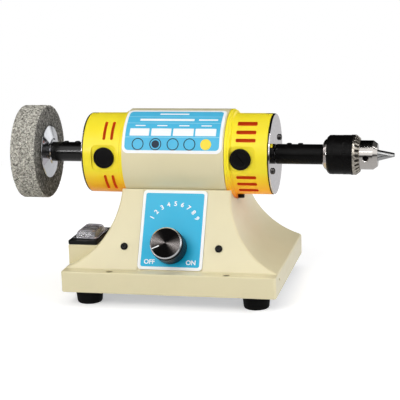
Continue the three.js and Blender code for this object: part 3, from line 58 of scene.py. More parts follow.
# The motor's drum and end bells
DRUM_RADIUS = 35.0
BELL_RADIUS = 31.55
BELL_BORE = 29.25
SCREW_ANGLES = (-32.7, 147.3)
PEG_ANGLE = 23.6
PEG_CIRCLE = 23.6
LUG = (34.4, -86 + TURN)
ADAPTOR_RADIUS = 7.78

# The hole of the arbor's flanges, nut and wheel, the flanges' edge, and the bore for the knob's shaft
ARBOR_HOLE = 5.3
FLANGE_RADIUS = 21.05
KNOB_BORE = 3.9

# The switch's middle on its box, and the window for its rocker
SWITCH_PLACE = (-84.3, -22.727)
WINDOW = (15.0, 25.6)

# The chuck: where it starts, its jaws' tips and slant, and its ring's teeth
CHUCK = 98.6
JAW_TIP = 54.7
SLANT = radians(15)
JAW_RADIUS = 2.9
TEETH = 24


# Frames
def at(x, y, z):
    return Matrix.Translation((x, y, z))


def turned_by(degrees, axis="Z"):
    return Matrix.Rotation(radians(degrees), 4, axis)


# Local Z runs along the motor axis towards the chuck, local X points to the front, local Y upwards
AXIS = Matrix(((0, 0, 1, 0), (-1, 0, 0, DEPTH), (0, 1, 0, AXIS_Z), (0, 0, 0, 1)))
# Local X runs across the sloping face, local Y up the slope, local Z out of it
FACE = Matrix((
    (1, 0, 0, MIDDLE),
    (0, sin(SLOPE), -cos(SLOPE), FACE_FOOT),
    (0, cos(SLOPE), sin(SLOPE), SKIRT_TOP),
    (0, 0, 0, 1),
))
# Local Z runs along X, and along Y to the rear
ALONG_X = Matrix(((0, 0, 1, 0), (1, 0, 0, 0), (0, 1, 0, 0), (0, 0, 0, 1)))
ALONG_Y = Matrix(((1, 0, 0, 0), (0, 0, 1, 0), (0, -1, 0, 0), (0, 0, 0, 1)))
KNOB = FACE @ at(0, 17.8, 0)
INLET = at(-62.3, REAR, 19.4) @ ALONG_Y
SWITCH = at(*SWITCH_PLACE, 43.4)
ROCKER = SWITCH @ at(0, 0, 3.2) @ turned_by(10, "X")


def on_motor(x, angle, reach=0.0):
    """Local Z points outwards from the axis at an angle above the front, local Y along X."""
    a = radians(angle)
    out = Vector((0, -cos(a), sin(a)))
    along = Vector((1, 0, 0))
    side = along.cross(out)
    return Matrix((
        (side.x, along.x, out.x, x),
        (side.y, along.y, out.y, DEPTH + reach * out.y),
        (side.z, along.z, out.z, AXIS_Z + reach * out.z),
        (0, 0, 0, 1),
    ))


def front_and_rear(x):
    return [on_motor(x, angle + TURN) for angle in (0, 180)]


def beside_axis(circle, angle, along=0.0):
    """The motor's frame moved to a point of a circle about the axis."""
    a = radians(angle + TURN)
    return AXIS @ at(circle * cos(a), circle * sin(a), along)


def barrel(x, angle, radius):
    """The point on the motor at an angle in radians above the front."""
    return (x, DEPTH - radius * cos(angle), AXIS_Z + radius * sin(angle))


def metres(matrix):
    scaled = matrix.copy()
    scaled.translation = matrix.translation * MM
    return scaled


# Node trees
def srgb(*values):
    """The linear colour of an sRGB one that is given in 0 to 255."""
    linear = []
    for c in values:
        c /= 255.0
        linear.append(c / 12.92 if c <= 0.04045 else ((c + 0.055) / 1.055) ** 2.4)
    return (*linear, 1.0)


def shade(colour, k):
    return tuple(min(1.0, max(0.0, c * k)) for c in colour[:3]) + (1.0,)


class Tree:
    """The node tree of a material or world. An input is given as a value or as another's output."""

    def __init__(self, owner):
        owner.use_nodes = True
        self.tree = owner.node_tree
        self.tree.nodes.clear()

    def feed(self, node, inputs):
        for key, value in inputs.items():
            if isinstance(value, bpy.types.NodeSocket):
                self.tree.links.new(value, node.inputs[key])
            else:
                node.inputs[key].default_value = value

    def node(self, kind, inputs=None, **settings):
        new = self.tree.nodes.new("ShaderNode" + kind)
        for key, value in settings.items():
            setattr(new, key, value)
        self.feed(new, inputs or {})
        return new

    def add(self, kind, inputs=None, output=0, **settings):
        """Adds a node and gives one of its outputs."""
        return self.node(kind, inputs, **settings).outputs[output]

    def parts(self, vector):
        return self.node("SeparateXYZ", {0: vector}).outputs

    def math(self, kind, *values):
        return self.add("Math", dict(enumerate(values)), operation=kind)

    def times(self, a, b):
        return self.math("MULTIPLY", a, b)

    def plus(self, a, b):
        return self.math("ADD", a, b)

    def mix(self, share, a, b, kind="MIX"):
        """Mixes two colours. A Mix node holds its colours at 6 and 7 and their result at 2."""
        return self.add("Mix", {0: share, 6: a, 7: b}, 2, data_type="RGBA", blend_type=kind)

    def either(self, share, a, b):
        return self.add("MixShader", {0: share, 1: a, 2: b})

    def spread(self, value, low, high, start=0.3, end=0.7, **settings):
        """Maps start to low and end to high."""
        inputs = {"Value": value, "From Min": start, "From Max": end, "To Min": low, "To Max": high}
        return self.add("MapRange", inputs, **settings)

    def ramp(self, share, *stops):
        output = self.add("ValToRGB", {"Fac": share})
        band = output.node.color_ramp
        while len(band.elements) < len(stops):
            band.elements.new(0.5)
        for element, (place, colour) in zip(band.elements, stops):
            element.position = place
            element.color = colour
        return output


class Finish(Tree):
    """A material round one Principled shader, with helpers for its procedural parts."""

    def __init__(self, name):
        self.material = bpy.data.materials.new(name)
        super().__init__(self.material)
        self.shader = self.node("BsdfPrincipled")
        self.node("OutputMaterial", {0: self.shader.outputs[0]})
        self.coord = self.add("TexCoord", output="Object")

    def skin(self, colour, roughness, normal, **others):
        """Feeds the shader. An input's name is written with _ for each space."""
        self.feed(self.shader, {"Base Color": colour, "Roughness": roughness, "Normal": normal})
        self.feed(self.shader, {name.replace("_", " "): value for name, value in others.items()})
        return self

    def noise(self, scale, detail=4.0, rough=0.55, stretch=None, distortion=0.0):
        place = self.coord
        if stretch:
            place = self.add("Mapping", {"Vector": place, "Scale": stretch})
        inputs = {"Vector": place, "Scale": scale, "Detail": detail, "Roughness": rough,
                  "Distortion": distortion}
        return self.add("TexNoise", inputs, "Fac")

    def cells(self, scale):
        return self.add("TexVoronoi", {"Vector": self.coord, "Scale": scale}, "Distance")

    def bump(self, height, strength, distance):
        return self.add("Bump", {"Height": height, "Strength": strength, "Distance": distance})

    def tones(self, share, colour, low, high):
        """The colour between two shades of itself."""
        return self.ramp(share, (0.3, shade(colour, low)), (0.7, shade(colour, high)))

    def wear(self, share, low, high):
        """Roughness between two values, with fairly sharp borders."""
        return self.spread(share, low, high, 0.35, 0.65)


# Finishes
def paint(name, colour):
    """Baked paint on metal: faint orange peel, soft drift of tone, a few dull handling marks."""
    f = Finish(name)
    tone = f.tones(f.noise(18, 3, 0.5), colour, 0.97, 1.03)
    dots = f.ramp(f.cells(420), (0.03, shade(colour, 0.8)), (0.06, WHITE))
    return f.skin(
        f.mix(0.35, tone, dots, "MULTIPLY"),
        f.wear(f.noise(60, 6, 0.65, (1, 1, 3)), 0.28, 0.4),
        f.bump(f.noise(520, 2, 0.5), 0.06, 0.0004),
        Coat_Weight=0.4, Coat_Roughness=0.12, Specular_IOR_Level=0.45)


def plastic(name, colour, low=0.3, high=0.45, grain=900, depth=0.08, specular=0.45, drift=0.05):
    """Moulded plastic: fine grain, a little flow and scuffing."""
    f = Finish(name)
    flow = f.noise(35, 4, 0.6, distortion=0.6)
    return f.skin(
        f.tones(flow, colour, 1 - drift, 1 + drift),
        f.wear(f.noise(130, 6, 0.7, (1, 2.5, 1)), low, high),
        f.bump(f.noise(grain, 3, 0.6), depth, 0.0003),
        Specular_IOR_Level=specular)


def film(name, colour, low=0.3, high=0.42, specular=0.4, drift=0.02):
    """Printed film, smoother than moulded plastic."""
    return plastic(name, colour, low, high, 1500, 0.02, specular, drift)


def turned(name, colour, low, high, depth=0.12, metallic=1.0, lines=2600, specular=0.5):
    """Metal turned on a lathe about X: fine lines round the axis, with smudges."""
    f = Finish(name)
    smudge = f.noise(70, 5, 0.6)
    return f.skin(
        f.tones(smudge, colour, 0.9, 1.08),
        f.wear(smudge, low, high),
        f.bump(f.noise(lines, 2, 0.5, (1, 0.02, 0.02)), depth, 0.00012),
        Metallic=metallic, Specular_IOR_Level=specular)


def cast(name, colour, low, high, metallic=1.0, scale=300, depth=0.1, specular=0.5):
    """Plain metal with a fine mottled skin."""
    f = Finish(name)
    mottle = f.noise(scale, 5, 0.6)
    return f.skin(
        f.tones(mottle, colour, 0.85, 1.12),
        f.wear(f.noise(90, 5, 0.6), low, high),
        f.bump(mottle, depth, 0.0002),
        Metallic=metallic, Specular_IOR_Level=specular)


def yellow_plastic():
    """Translucent dyed plastic, with painted shade: deeper orange and a faint painted glow towards the
    underside of the motor.
    """
    f = Finish("yellow_plastic")
    # Painted shade: below a height the yellow turns to orange
    painted_underside_shade = f.spread(f.parts(f.coord)["Z"], 1.0, 0.0, 0.077, 0.100)
    bright = f.tones(f.noise(30, 4, 0.6, distortion=0.5), srgb(251, 230, 40), 0.97, 1.03)
    return f.skin(
        f.mix(painted_underside_shade, bright, srgb(255, 172, 22)),
        f.wear(f.noise(120, 6, 0.7, (2.5, 1, 1)), 0.3, 0.42),
        f.bump(f.noise(700, 3, 0.6), 0.05, 0.0003),
        Specular_IOR_Level=0.4, Coat_Weight=0.15, Coat_Roughness=0.2,
        # A faint painted glow in that painted shade
        Emission_Strength=f.times(painted_underside_shade, 0.2), Emission_Color=(1.0, 0.16, 0.0, 1.0),
        Subsurface_Weight=0.12, Subsurface_Scale=0.004, Subsurface_Radius=(1.0, 0.55, 0.12))


def enamelled_wire():
    """Copper wire laid side by side along the coils."""
    f = Finish("enamelled_wire")
    strand = f.add("Mapping", {"Vector": f.coord, "Scale": (0.4, 1, 1)})
    wave = f.add("TexWave", {"Vector": strand, "Scale": 420, "Distortion": 1.5, "Detail": 2}, "Fac")
    return f.skin(
        f.ramp(wave, (0.1, srgb(88, 30, 12)), (0.8, srgb(190, 84, 34))),
        f.spread(f.noise(90), 0.3, 0.45),
        f.bump(wave, 0.5, 0.0004),
        Metallic=0.4)


def panel_blue():
    """Printed film on the sloping face, deeper in tone towards its foot."""
    f = Finish("panel_blue_film")
    height = f.spread(f.parts(f.coord)["Z"], 0.0, 1.0, 0.040, 0.088)
    return f.skin(
        f.mix(height, srgb(0, 178, 222), srgb(62, 184, 223)),
        f.wear(f.noise(140, 5, 0.6), 0.32, 0.44),
        f.bump(f.noise(1500, 2, 0.5), 0.02, 0.0002),
        Specular_IOR_Level=0.4)


def fibre():
    """Non-woven abrasive fibre: matted strands of pale and dark tone, with painted shade in its open pores.
    """
    f = Finish("abrasive_fibre")
    strands = f.noise(1500, 5, 0.75, distortion=1.2)
    blots = f.noise(620, 4, 0.7, distortion=0.8)
    pores = f.cells(760)
    tone = f.ramp(f.plus(f.times(strands, 0.35), f.times(blots, 0.65)),
                  (0.38, srgb(66, 65, 61)), (0.46, srgb(140, 137, 128)),
                  (0.52, srgb(196, 193, 182)), (0.62, srgb(246, 243, 232)))
    # Painted shade in the open pores
    holes = f.ramp(pores, (0.05, srgb(52, 50, 47)), (0.22, WHITE))
    return f.skin(
        f.mix(0.6, tone, holes, "MULTIPLY"),
        f.spread(f.noise(260, 3, 0.6), 0.9, 1.0),
        f.bump(f.plus(f.times(strands, 0.5), f.times(pores, 0.8)), 0.9, 0.0012),
        Specular_IOR_Level=0.15)


def fibre_face():
    """The wheel's cut sides: the same fibre, pressed, and painted darker for the shade on them as well."""
    f = Finish("abrasive_fibre_side_painted_shade")
    strands = f.noise(1700, 5, 0.75, distortion=1.2)
    blots = f.noise(500, 4, 0.7, distortion=0.8)
    return f.skin(
        f.ramp(f.plus(f.times(strands, 0.4), f.times(blots, 0.6)),
               (0.38, srgb(44, 43, 40)), (0.5, srgb(116, 114, 107)), (0.62, srgb(206, 203, 192))),
        f.spread(blots, 0.9, 1.0),
        f.bump(strands, 0.9, 0.001),
        Specular_IOR_Level=0.15)


def clear_cover():
    """Thin clear vinyl, a little milky, whose wavy skin catches glints."""
    f = Finish("clear_vinyl")
    cloud = f.noise(90, 3, 0.5, distortion=0.8)
    wave = f.bump(f.noise(150, 2, 0.45, distortion=1.2), 0.6, 0.0016)
    return f.skin(
        f.ramp(cloud, (0.3, srgb(238, 236, 242)), (0.7, srgb(252, 251, 254))),
        f.spread(cloud, 0.03, 0.08),
        wave, Coat_Normal=wave,
        Transmission_Weight=0.95, IOR=1.22,
        Coat_Weight=1.0, Coat_Roughness=0.04, Coat_IOR=1.5)


def knob_face():
    """A turned end face with painted highlights: pale to the two sides, dark above and below, and fine rings.
    """
    highlight_turn = radians(-12.0)
    ring_rate = 9000.0
    f = Finish("knob_face_painted_highlight")
    p = f.parts(f.coord)
    # Painted highlight: pale where the direction from the axis lies near the sides, dark above and below
    along = f.plus(f.times(p["X"], cos(highlight_turn)), f.times(p["Y"], sin(highlight_turn)))
    square = f.plus(f.times(p["X"], p["X"]), f.times(p["Y"], p["Y"]))
    share = f.math("DIVIDE", f.times(along, along), f.plus(square, 1e-9))
    painted_highlight = f.ramp(share, (0.3, srgb(12, 11, 11)), (0.6, srgb(30, 28, 27)),
                   (0.86, srgb(84, 79, 77)), (1.0, srgb(134, 128, 126)))
    rings = f.math("SINE", f.times(f.math("SQRT", square), ring_rate))
    return f.skin(
        f.mix(f.spread(rings, 0.0, 0.3, -1.0, 1.0), painted_highlight, srgb(10, 9, 9)),
        f.wear(f.noise(900, 4, 0.6), 0.24, 0.3),
        f.bump(rings, 0.1, 0.0001),
        Tangent=f.add("Tangent", direction_type="RADIAL", axis="Z"),
        Metallic=1.0, Anisotropic=0.8)


cream = paint("cream_paint", srgb(226, 216, 177))
yellow = yellow_plastic()
# Painted shade: the bells' insides, slot walls and bores in deep orange-red, with a faint painted glow
painted_inner_shade = plastic("yellow_plastic_painted_shade", srgb(214, 92, 40), 0.5, 0.65, specular=0.1)
painted_inner_shade.feed(painted_inner_shade.shader, {"Emission Color": srgb(204, 84, 30), "Emission Strength": 0.25})
label_white = film("label_white_film", srgb(247, 249, 249), drift=0.01)
label_blue = film("label_blue_film", srgb(72, 184, 224), drift=0.03)
label_dark = film("label_dark_ink", srgb(28, 44, 60), 0.4, 0.5, 0.3, 0.05)
label_yellow = film("label_yellow_ink", srgb(246, 220, 60), 0.35, 0.45)
label_rule = film("label_pale_rule", srgb(150, 216, 236), 0.35, 0.45)
black_plastic = plastic("black_plastic", srgb(13, 12, 13), 0.3, 0.44, 900, 0.1, 0.14, 0.2)
bezel_plastic = plastic("bezel_plastic", srgb(20, 21, 20), 0.38, 0.52, 700, 0.14, 0.18, 0.2)
rubber = plastic("black_rubber", srgb(12, 12, 12), 0.6, 0.8, 500, 0.2, 0.1, 0.25)
gasket_rubber = plastic("gasket_rubber", srgb(15, 14, 13), 0.7, 0.85, 500, 0.2, 0.15, 0.2)
black_oxide = turned("black_oxide_steel", srgb(10, 9, 9), 0.24, 0.36, 0.1, 0.0, specular=0.11)
left_oxide = turned("black_oxide_polished", srgb(10, 9, 9), 0.18, 0.24, 0.04, 0.0)
oxide_screw = cast("black_oxide_screw", srgb(14, 13, 14), 0.22, 0.34, 0.0, 700, 0.1, 0.22)
plate_grey = cast("polished_plate", srgb(238, 233, 236), 0.03, 0.07, 1.0, 420, 0.01)
chuck_steel = turned("chuck_steel", srgb(214, 209, 204), 0.1, 0.18, 0.1)
gear_steel = turned("gear_steel", srgb(178, 172, 164), 0.2, 0.32, 0.2)
gear_steel.feed(gear_steel.shader, {"Base Color": gear_steel.ramp(
    gear_steel.noise(700, 4, 0.6), (0.3, srgb(150, 143, 130)), (0.7, srgb(226, 219, 207)))})
# Painted shade in the gaps between the gear ring's teeth
gear_gap_shade = turned("gear_gap_shade", srgb(58, 54, 48), 0.4, 0.55, 0.2, 0.6)
# Painted shade for the insides of small holes and recesses
painted_hole_shade = cast("hole_painted_shade_steel", srgb(26, 24, 22), 0.4, 0.55, 0.3, 500, 0.1, 0.2)
ledge_steel = cast("ledge_screw_steel", srgb(132, 120, 88), 0.4, 0.55, 0.7)
jaw_steel = turned("jaw_steel", srgb(190, 190, 190), 0.12, 0.22)
chrome = turned("chrome_plate", srgb(232, 234, 238), 0.08, 0.16, 0.04)
screw_steel = cast("screw_steel", srgb(214, 214, 216), 0.16, 0.28)
pan_steel = cast("pan_screw_steel", srgb(96, 94, 92), 0.1, 0.2, 1.0, 500, 0.1)
galvanised = cast("galvanised_sheet", srgb(168, 170, 172), 0.35, 0.5, 0.9, 120, 0.1)
copper = turned("copper", srgb(196, 118, 66), 0.25, 0.4)
carbon = plastic("carbon_brush", srgb(48, 48, 50), 0.6, 0.75, 900, 0.2, 0.3, 0.2)
lamination = turned("laminated_steel", srgb(120, 118, 114), 0.35, 0.5, 0.5, 1.0, 3200)
board_green = plastic("circuit_board", srgb(40, 96, 58), 0.35, 0.5, 600, 0.1, 0.5, 0.15)
fan_plastic = plastic("fan_plastic", srgb(38, 36, 36), 0.45, 0.6, 700, 0.1, 0.3, 0.2)
wire = enamelled_wire()
panel_film = panel_blue()
wheel_fibre = fibre()
wheel_side_shaded = fibre_face()
vinyl = clear_cover()
knob_top = knob_face()
knob_rim = turned("knob_bright_rim", srgb(244, 244, 246), 0.2, 0.28, 0.04)
knob_black = plastic("knob_black_skirt", srgb(12, 11, 12), 0.26, 0.38, 900, 0.08, 0.14, 0.2)


# Outlines
def soften(points, radius, closed=False, steps=4):
    """Rounds an outline's corners. A point may give a radius of its own as a third number."""
    out = []
    n = len(points)
    for i, p in enumerate(points):
        r = p[2] if len(p) > 2 else radius
        if r <= 0 or (not closed and i in (0, n - 1)):
            out.append((p[0], p[1]))
            continue
        corner = Vector(p[:2])
        a = Vector(points[(i - 1) % n][:2]) - corner
        b = Vector(points[(i + 1) % n][:2]) - corner
        if a.length < 1e-6 or b.length < 1e-6:
            continue
        angle = a.angle(b)
        if angle > radians(176) or angle < radians(4):
            out.append((p[0], p[1]))
            continue
        back = min(r / tan(angle / 2), 0.48 * a.length, 0.48 * b.length)
        reach = back * tan(angle / 2) / sin(angle / 2)
        centre = corner + (a.normalized() + b.normalized()).normalized() * reach
        start = corner + a.normalized() * back - centre
        end = corner + b.normalized() * back - centre
        turn = atan2(start.x * end.y - start.y * end.x, start.dot(end))
        for k in range(steps + 1):
            c = cos(turn * k / steps)
            s = sin(turn * k / steps)
            out.append((centre.x + start.x * c - start.y * s, centre.y + start.x * s + start.y * c))
    return out


def dense(points, step):
    """A closed outline with more points on its long edges."""
    out = []
    for i, p in enumerate(points):
        q = points[(i + 1) % len(points)]
        out.append(p)
        extra = int(hypot(q[0] - p[0], q[1] - p[1]) / step)
        for k in range(1, extra + 1):
            t = k / (extra + 1)
            out.append((p[0] + (q[0] - p[0]) * t, p[1] + (q[1] - p[1]) * t))
    return out


def rounded(width, height, corner, steps=6):
    """Points of a rounded rectangle about the origin, counter-clockwise."""
    out = []
    x, y = width / 2 - corner, height / 2 - corner
    for cx, cy, start in ((x, y, 0), (-x, y, 90), (-x, -y, 180), (x, -y, 270)):
        for k in range(steps + 1):
            a = radians(start + 90 * k / steps)
            out.append((cx + corner * cos(a), cy + corner * sin(a)))
    return out


def hexagon(radius):
    return [(radius * cos(pi * k / 3), radius * sin(pi * k / 3)) for k in range(6)]


def run(start, stop, step):
    """Numbers from start on, as long as they haven't reached stop."""
    value = start
    while (stop - value) * step > 0:
        yield value
        value += step


# Meshes
def make(name, points, faces, matrix=None):
    """A new mesh object from points in millimetres."""
    if matrix is not None:
        points = [matrix @ Vector(p) for p in points]
        if matrix.to_3x3().determinant() < 0:
            faces = [tuple(reversed(f)) for f in faces]
    mesh = bpy.data.meshes.new(name)
    mesh.from_pydata([tuple(c * MM for c in p) for p in points], [], faces)
    mesh.validate()
    obj = bpy.data.objects.new(name, mesh)
    scene.collection.objects.link(obj)
    return obj


def opened(obj):
    bm = bmesh.new()
    bm.from_mesh(obj.data)
    return bm


def close(bm, obj):
    bm.to_mesh(obj.data)
    bm.free()


def solid(name, points, faces, matrix=None):
    """A mesh object with no double points, whose faces point outwards."""
    obj = make(name, points, faces, matrix)
    bm = opened(obj)
    bmesh.ops.remove_doubles(bm, verts=bm.verts, dist=1e-7)
    bmesh.ops.recalc_face_normals(bm, faces=bm.faces)
    close(bm, obj)
    return obj


def lathe(name, profile, seg=96, matrix=None, closed=False, shape=None):
    """A body turned about local Z from (z, radius) points. shape(z, radius, angle) may move them."""
    points, rings, faces = [], [], []
    for z, r in profile:
        if r < 1e-5 and shape is None:
            rings.append([len(points)])
            points.append((0, 0, z))
            continue
        rings.append(list(range(len(points), len(points) + seg)))
        for k in range(seg):
            a = 2 * pi * k / seg
            zz, rr = shape(z, r, a) if shape else (z, r)
            points.append((rr * cos(a), rr * sin(a), zz))
    for low, high in zip(rings, rings[1:] + rings[:1] if closed else rings[1:]):
        if len(low) == 1 and len(high) == 1:
            continue
        for k in range(seg):
            j = (k + 1) % seg
            if len(low) == 1:
                faces.append((low[0], high[j], high[k]))
            elif len(high) == 1:
                faces.append((low[k], low[j], high[0]))
            else:
                faces.append((low[k], low[j], high[j], high[k]))
    return solid(name, points, faces, matrix)


def spun(name, profile, radius, seg, matrix=AXIS, closed=True, steps=4):
    """A turned body whose profile's corners are rounded."""
    return lathe(name, soften(profile, radius, closed, steps), seg, matrix, closed)


def rod(low, high, radius, seg, matrix):
    return lathe("rod", [(low, 0), (low, radius), (high, radius), (high, 0)], seg, matrix)


def stack(name, levels, matrix=None, steps=6):
    """A loft through rounded rectangles, each (z, x0, x1, y0, y1, corner)."""
    points, faces = [], []
    count = 4 * (steps + 1)
    for z, x0, x1, y0, y1, corner in levels:
        for x, y in rounded(x1 - x0, y1 - y0, corner, steps):
            points.append((x + (x0 + x1) / 2, y + (y0 + y1) / 2, z))
    last = len(points) - count
    for a in range(0, last, count):
        b = a + count
        for k in range(count):
            j = (k + 1) % count
            faces.append((a + k, a + j, b + j, b + k))
    faces.append(tuple(reversed(range(count))))
    faces.append(tuple(range(last, last + count)))
    return solid(name, points, faces, matrix)


def tier(z, width, height, inset, corner):
    """A level of a stack about the origin, drawn in on all sides."""
    return (z, inset - width / 2, width / 2 - inset, inset - height / 2, height / 2 - inset, corner)


def slab(name, width, height, corner, low, high, edge, matrix=None, steps=6):
    """A rounded plate with softened upper and lower edges."""
    insets = ((low, edge), (low + 0.3 * edge, 0.3 * edge), (low + edge, 0),
              (high - edge, 0), (high - 0.3 * edge, 0.3 * edge), (high, edge))
    levels = [tier(z, width, height, inset, max(corner - inset, 0.05)) for z, inset in insets]
    return stack(name, levels, matrix, steps)


def between(name, lower, upper, matrix=None):
    """A solid between two loops of as many points each."""
    n = len(lower)
    faces = [tuple(reversed(range(n))), tuple(range(n, 2 * n))]
    faces += [(k, (k + 1) % n, n + (k + 1) % n, n + k) for k in range(n)]
    return solid(name, lower + upper, faces, matrix)


def prism(name, outline, low, high, matrix=None):
    """An outline in local X and Y pushed along local Z."""
    return between(name, [(x, y, low) for x, y in outline], [(x, y, high) for x, y in outline], matrix)


def block(width, height, corner, low, high, matrix=None, steps=2):
    return prism("block", rounded(width, height, corner, steps), low, high, matrix)


def sheet(name, x0, x1, s0, s1, corner, place, low, high, rows):
    """A thin rounded sheet between x0..x1 and s0..s1. place(x, s, h) gives the point."""
    wide, tall = (x1 - x0) / 2, (s1 - s0) / 2
    turns = 8 if corner > 0.05 else 1
    xs = [-wide + corner * (1 - cos(pi / 2 * k / turns)) for k in range(turns + 1)]
    others = [-x for x in reversed(xs)]
    middle = max(2, int((2 * wide - 2 * corner) / 6))
    xs += [-wide + corner + (2 * wide - 2 * corner) * k / middle for k in range(1, middle)] + others
    grid = []
    for x in xs:
        over = abs(x) - (wide - corner)
        limit = tall
        if over > 0:
            limit = tall - corner + sqrt(max(corner * corner - over * over, 0))
        grid.append([(x + (x0 + x1) / 2, (s0 + s1) / 2 - limit + 2 * limit * k / rows)
                     for k in range(rows + 1)])
    points = [place(x, s, h) for h in (low, high) for column in grid for x, s in column]
    count = rows + 1
    half = len(grid) * count
    faces = []
    for i in range(len(grid) - 1):
        for k in range(rows):
            a, b = i * count + k, (i + 1) * count + k
            faces.append((a, a + 1, b + 1, b))
            faces.append((half + a, half + b, half + b + 1, half + a + 1))
    rim = list(range(count)) + [i * count + rows for i in range(1, len(grid))]
    rim += [half - count + k for k in range(rows - 1, -1, -1)]
    rim += [i * count for i in range(len(grid) - 2, 0, -1)]
    for a, b in zip(rim, rim[1:] + rim[:1]):
        faces.append((a, b, half + b, half + a))
    return solid(name, points, faces)


def evaluated(obj):
    """A new mesh of the object as its modifiers or its curve settings give it."""
    bpy.context.view_layer.update()
    graph = bpy.context.evaluated_depsgraph_get()
    return bpy.data.meshes.new_from_object(obj.evaluated_get(graph))


def baked(obj):
    """Applies an object's modifiers."""
    mesh = evaluated(obj)
    obj.modifiers.clear()
    old = obj.data
    obj.data = mesh
    bpy.data.meshes.remove(old)


def drop(obj):
    mesh = obj.data
    bpy.data.objects.remove(obj)
    bpy.data.meshes.remove(mesh)


def merged(name, objs):
    """Several meshes as one object."""
    points, faces = [], []
    for o in objs:
        base = len(points)
        points += [tuple(c / MM for c in v.co) for v in o.data.vertices]
        faces += [tuple(base + i for i in p.vertices) for p in o.data.polygons]
    for o in objs:
        drop(o)
    return make(name, points, faces)


def boolean(obj, tool, kind="DIFFERENCE", finish=None):
    """Cuts or joins an object with another, which is used up. Cut faces may get their own finish."""
    m = obj.modifiers.new("join", "BOOLEAN")
    m.object = tool
    m.operation = kind
    m.solver = "EXACT"
    if finish:
        tool.data.materials.append(finish.material)
        m.material_mode = "TRANSFER"
    baked(obj)
    drop(tool)
    bm = opened(obj)
    bmesh.ops.remove_doubles(bm, verts=bm.verts, dist=2e-7)
    bmesh.ops.dissolve_degenerate(bm, edges=bm.edges, dist=2e-7)
    close(bm, obj)


def two_tone(obj, first, second, is_second):
    """Puts the second finish on the faces that a test picks by their x and radius about the axis."""
    obj.data.materials.append(first.material)
    obj.data.materials.append(second.material)
    for p in obj.data.polygons:
        c = p.center
        if is_second(c.x / MM, hypot(c.y - DEPTH * MM, c.z - AXIS_Z * MM) / MM):
            p.material_index = 1


def done(obj, finish, slot, *stands, body="casing", sharp=35, weighted=True):
    """Gives a piece its finish, if it has none yet, its shading, body and the nodes it stands for. The slot
    argument is not used.
    """
    if not obj.data.materials:
        obj.data.materials.append(finish.material)
    obj.data.shade_smooth()
    obj.data.set_sharp_from_angle(angle=radians(sharp))
    if weighted:
        obj.modifiers.new("even", "WEIGHTED_NORMAL").keep_sharp = True
    if stands:
        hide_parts(*stands)
    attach(obj, body)


# Camera, solved from the photo
scene = bpy.context.scene
camera = bpy.data.objects.new("camera", bpy.data.cameras.new("camera"))
scene.collection.objects.link(camera)
right = Vector((0.9752, 0.2192, -0.0302))
up = Vector((-0.0193, 0.2204, 0.9752))
back = right.cross(up).normalized()
up = back.cross(right).normalized()
right = up.cross(back).normalized()
camera.matrix_world = Matrix((
    (right.x, up.x, back.x, 0.22212),
    (right.y, up.y, back.y, -0.95618),
    (right.z, up.z, back.z, 0.29115),
    (0, 0, 0, 1),
))
camera.data.sensor_width = 36
camera.data.lens = 114.0975
camera.data.clip_start = 0.05
camera.data.clip_end = 50
scene.camera = camera
scene.view_settings.view_transform = "Standard"


def lamp(name, place, target, width, height, power, colour=(1, 1, 1)):
    data = bpy.data.lights.new(name, "AREA")
    data.energy = power
    data.color = colour
    data.shape = "RECTANGLE"
    data.size = width
    data.size_y = height
    obj = bpy.data.objects.new(name, data)
    obj.location = place
    obj.rotation_mode = "QUATERNION"
    obj.rotation_quaternion = (Vector(target) - Vector(place)).to_track_quat("-Z", "Y")
    scene.collection.objects.link(obj)
    obj.visible_camera = False
    return obj


# Broad lamps that shiny parts don't mirror
for broad in (
    ("key", (-0.55, -1.15, 1.0), (0, 0, 0.08), 0.9, 0.9, 12.0, (1.0, 0.99, 0.97)),
    ("fill", (1.4, -0.05, 0.58), (0, 0, 0.08), 0.8, 0.8, 10.2, (0.98, 0.99, 1.07)),
    ("top", (0.1, 0.3, 1.5), (0, 0, 0.05), 1.0, 1.0, 3.0),
):
    lamp(*broad).visible_glossy = False
# Narrow lamps that only shiny parts show
for narrow in (
    ("strip", (0.15, -1.25, 0.98), (0.05, 0, 0.1), 1.5, 0.1, 1.4),
    ("left_strip", (-0.53, -1.25, 0.47), (-0.1, 0, 0.108), 0.2, 0.16, 1.5),
    ("glint", (0.2, -0.62, 1.6), (0, 0, 0.08), 0.2, 0.2, 2.2),
    ("side_strip", (1.2, 0.2, 0.5), (0.1, 0, 0.1), 0.08, 0.9, 0.8),
):
    lamp(*narrow).visible_diffuse = False


def build_world(world):
    """White to the camera and soft light for the rest. Shiny parts see bright and dark parts."""
    w = Tree(world)
    ray = w.node("LightPath").outputs
    way = w.parts(w.add("TexCoord", output="Generated"))
    # in front: dark at the horizon and overhead, bright between; behind: bright only to the right
    front = w.spread(way["Z"], 0.05, 1.2, 0.08, 0.22)
    behind = w.times(w.spread(way["X"], 0.0, 1.1, 0.24, 0.4), w.spread(way["Z"], 1.0, 0.1, 0.1, 0.4))
    around = w.add("Mix", {0: w.spread(way["Y"], 0.0, 1.0, -0.05, 0.05), 2: front, 3: behind})
    gloss = w.times(w.spread(way["Z"], 1.1, 0.01, 0.87, 0.93), around)
    seen = w.add("Background", {"Color": WHITE, "Strength": 1.0})
    light = w.add("Background", {"Color": WHITE, "Strength": 0.4})
    mirrored = w.add("Background", {"Strength": gloss})
    clear = w.math("MAXIMUM", ray["Is Camera Ray"], ray["Is Transmission Ray"])
    other = w.either(ray["Is Glossy Ray"], light, mirrored)
    w.node("OutputWorld", {0: w.either(clear, other, seen)})


scene.world = bpy.data.worlds.new("world")
build_world(scene.world)

# Metres in front of the object, and how bright shiny parts see the floor there
CARD = ((0.0, 0.56), (0.3, 0.5), (0.6, 0.3), (0.9, 0.05), (1.0, 0.03))


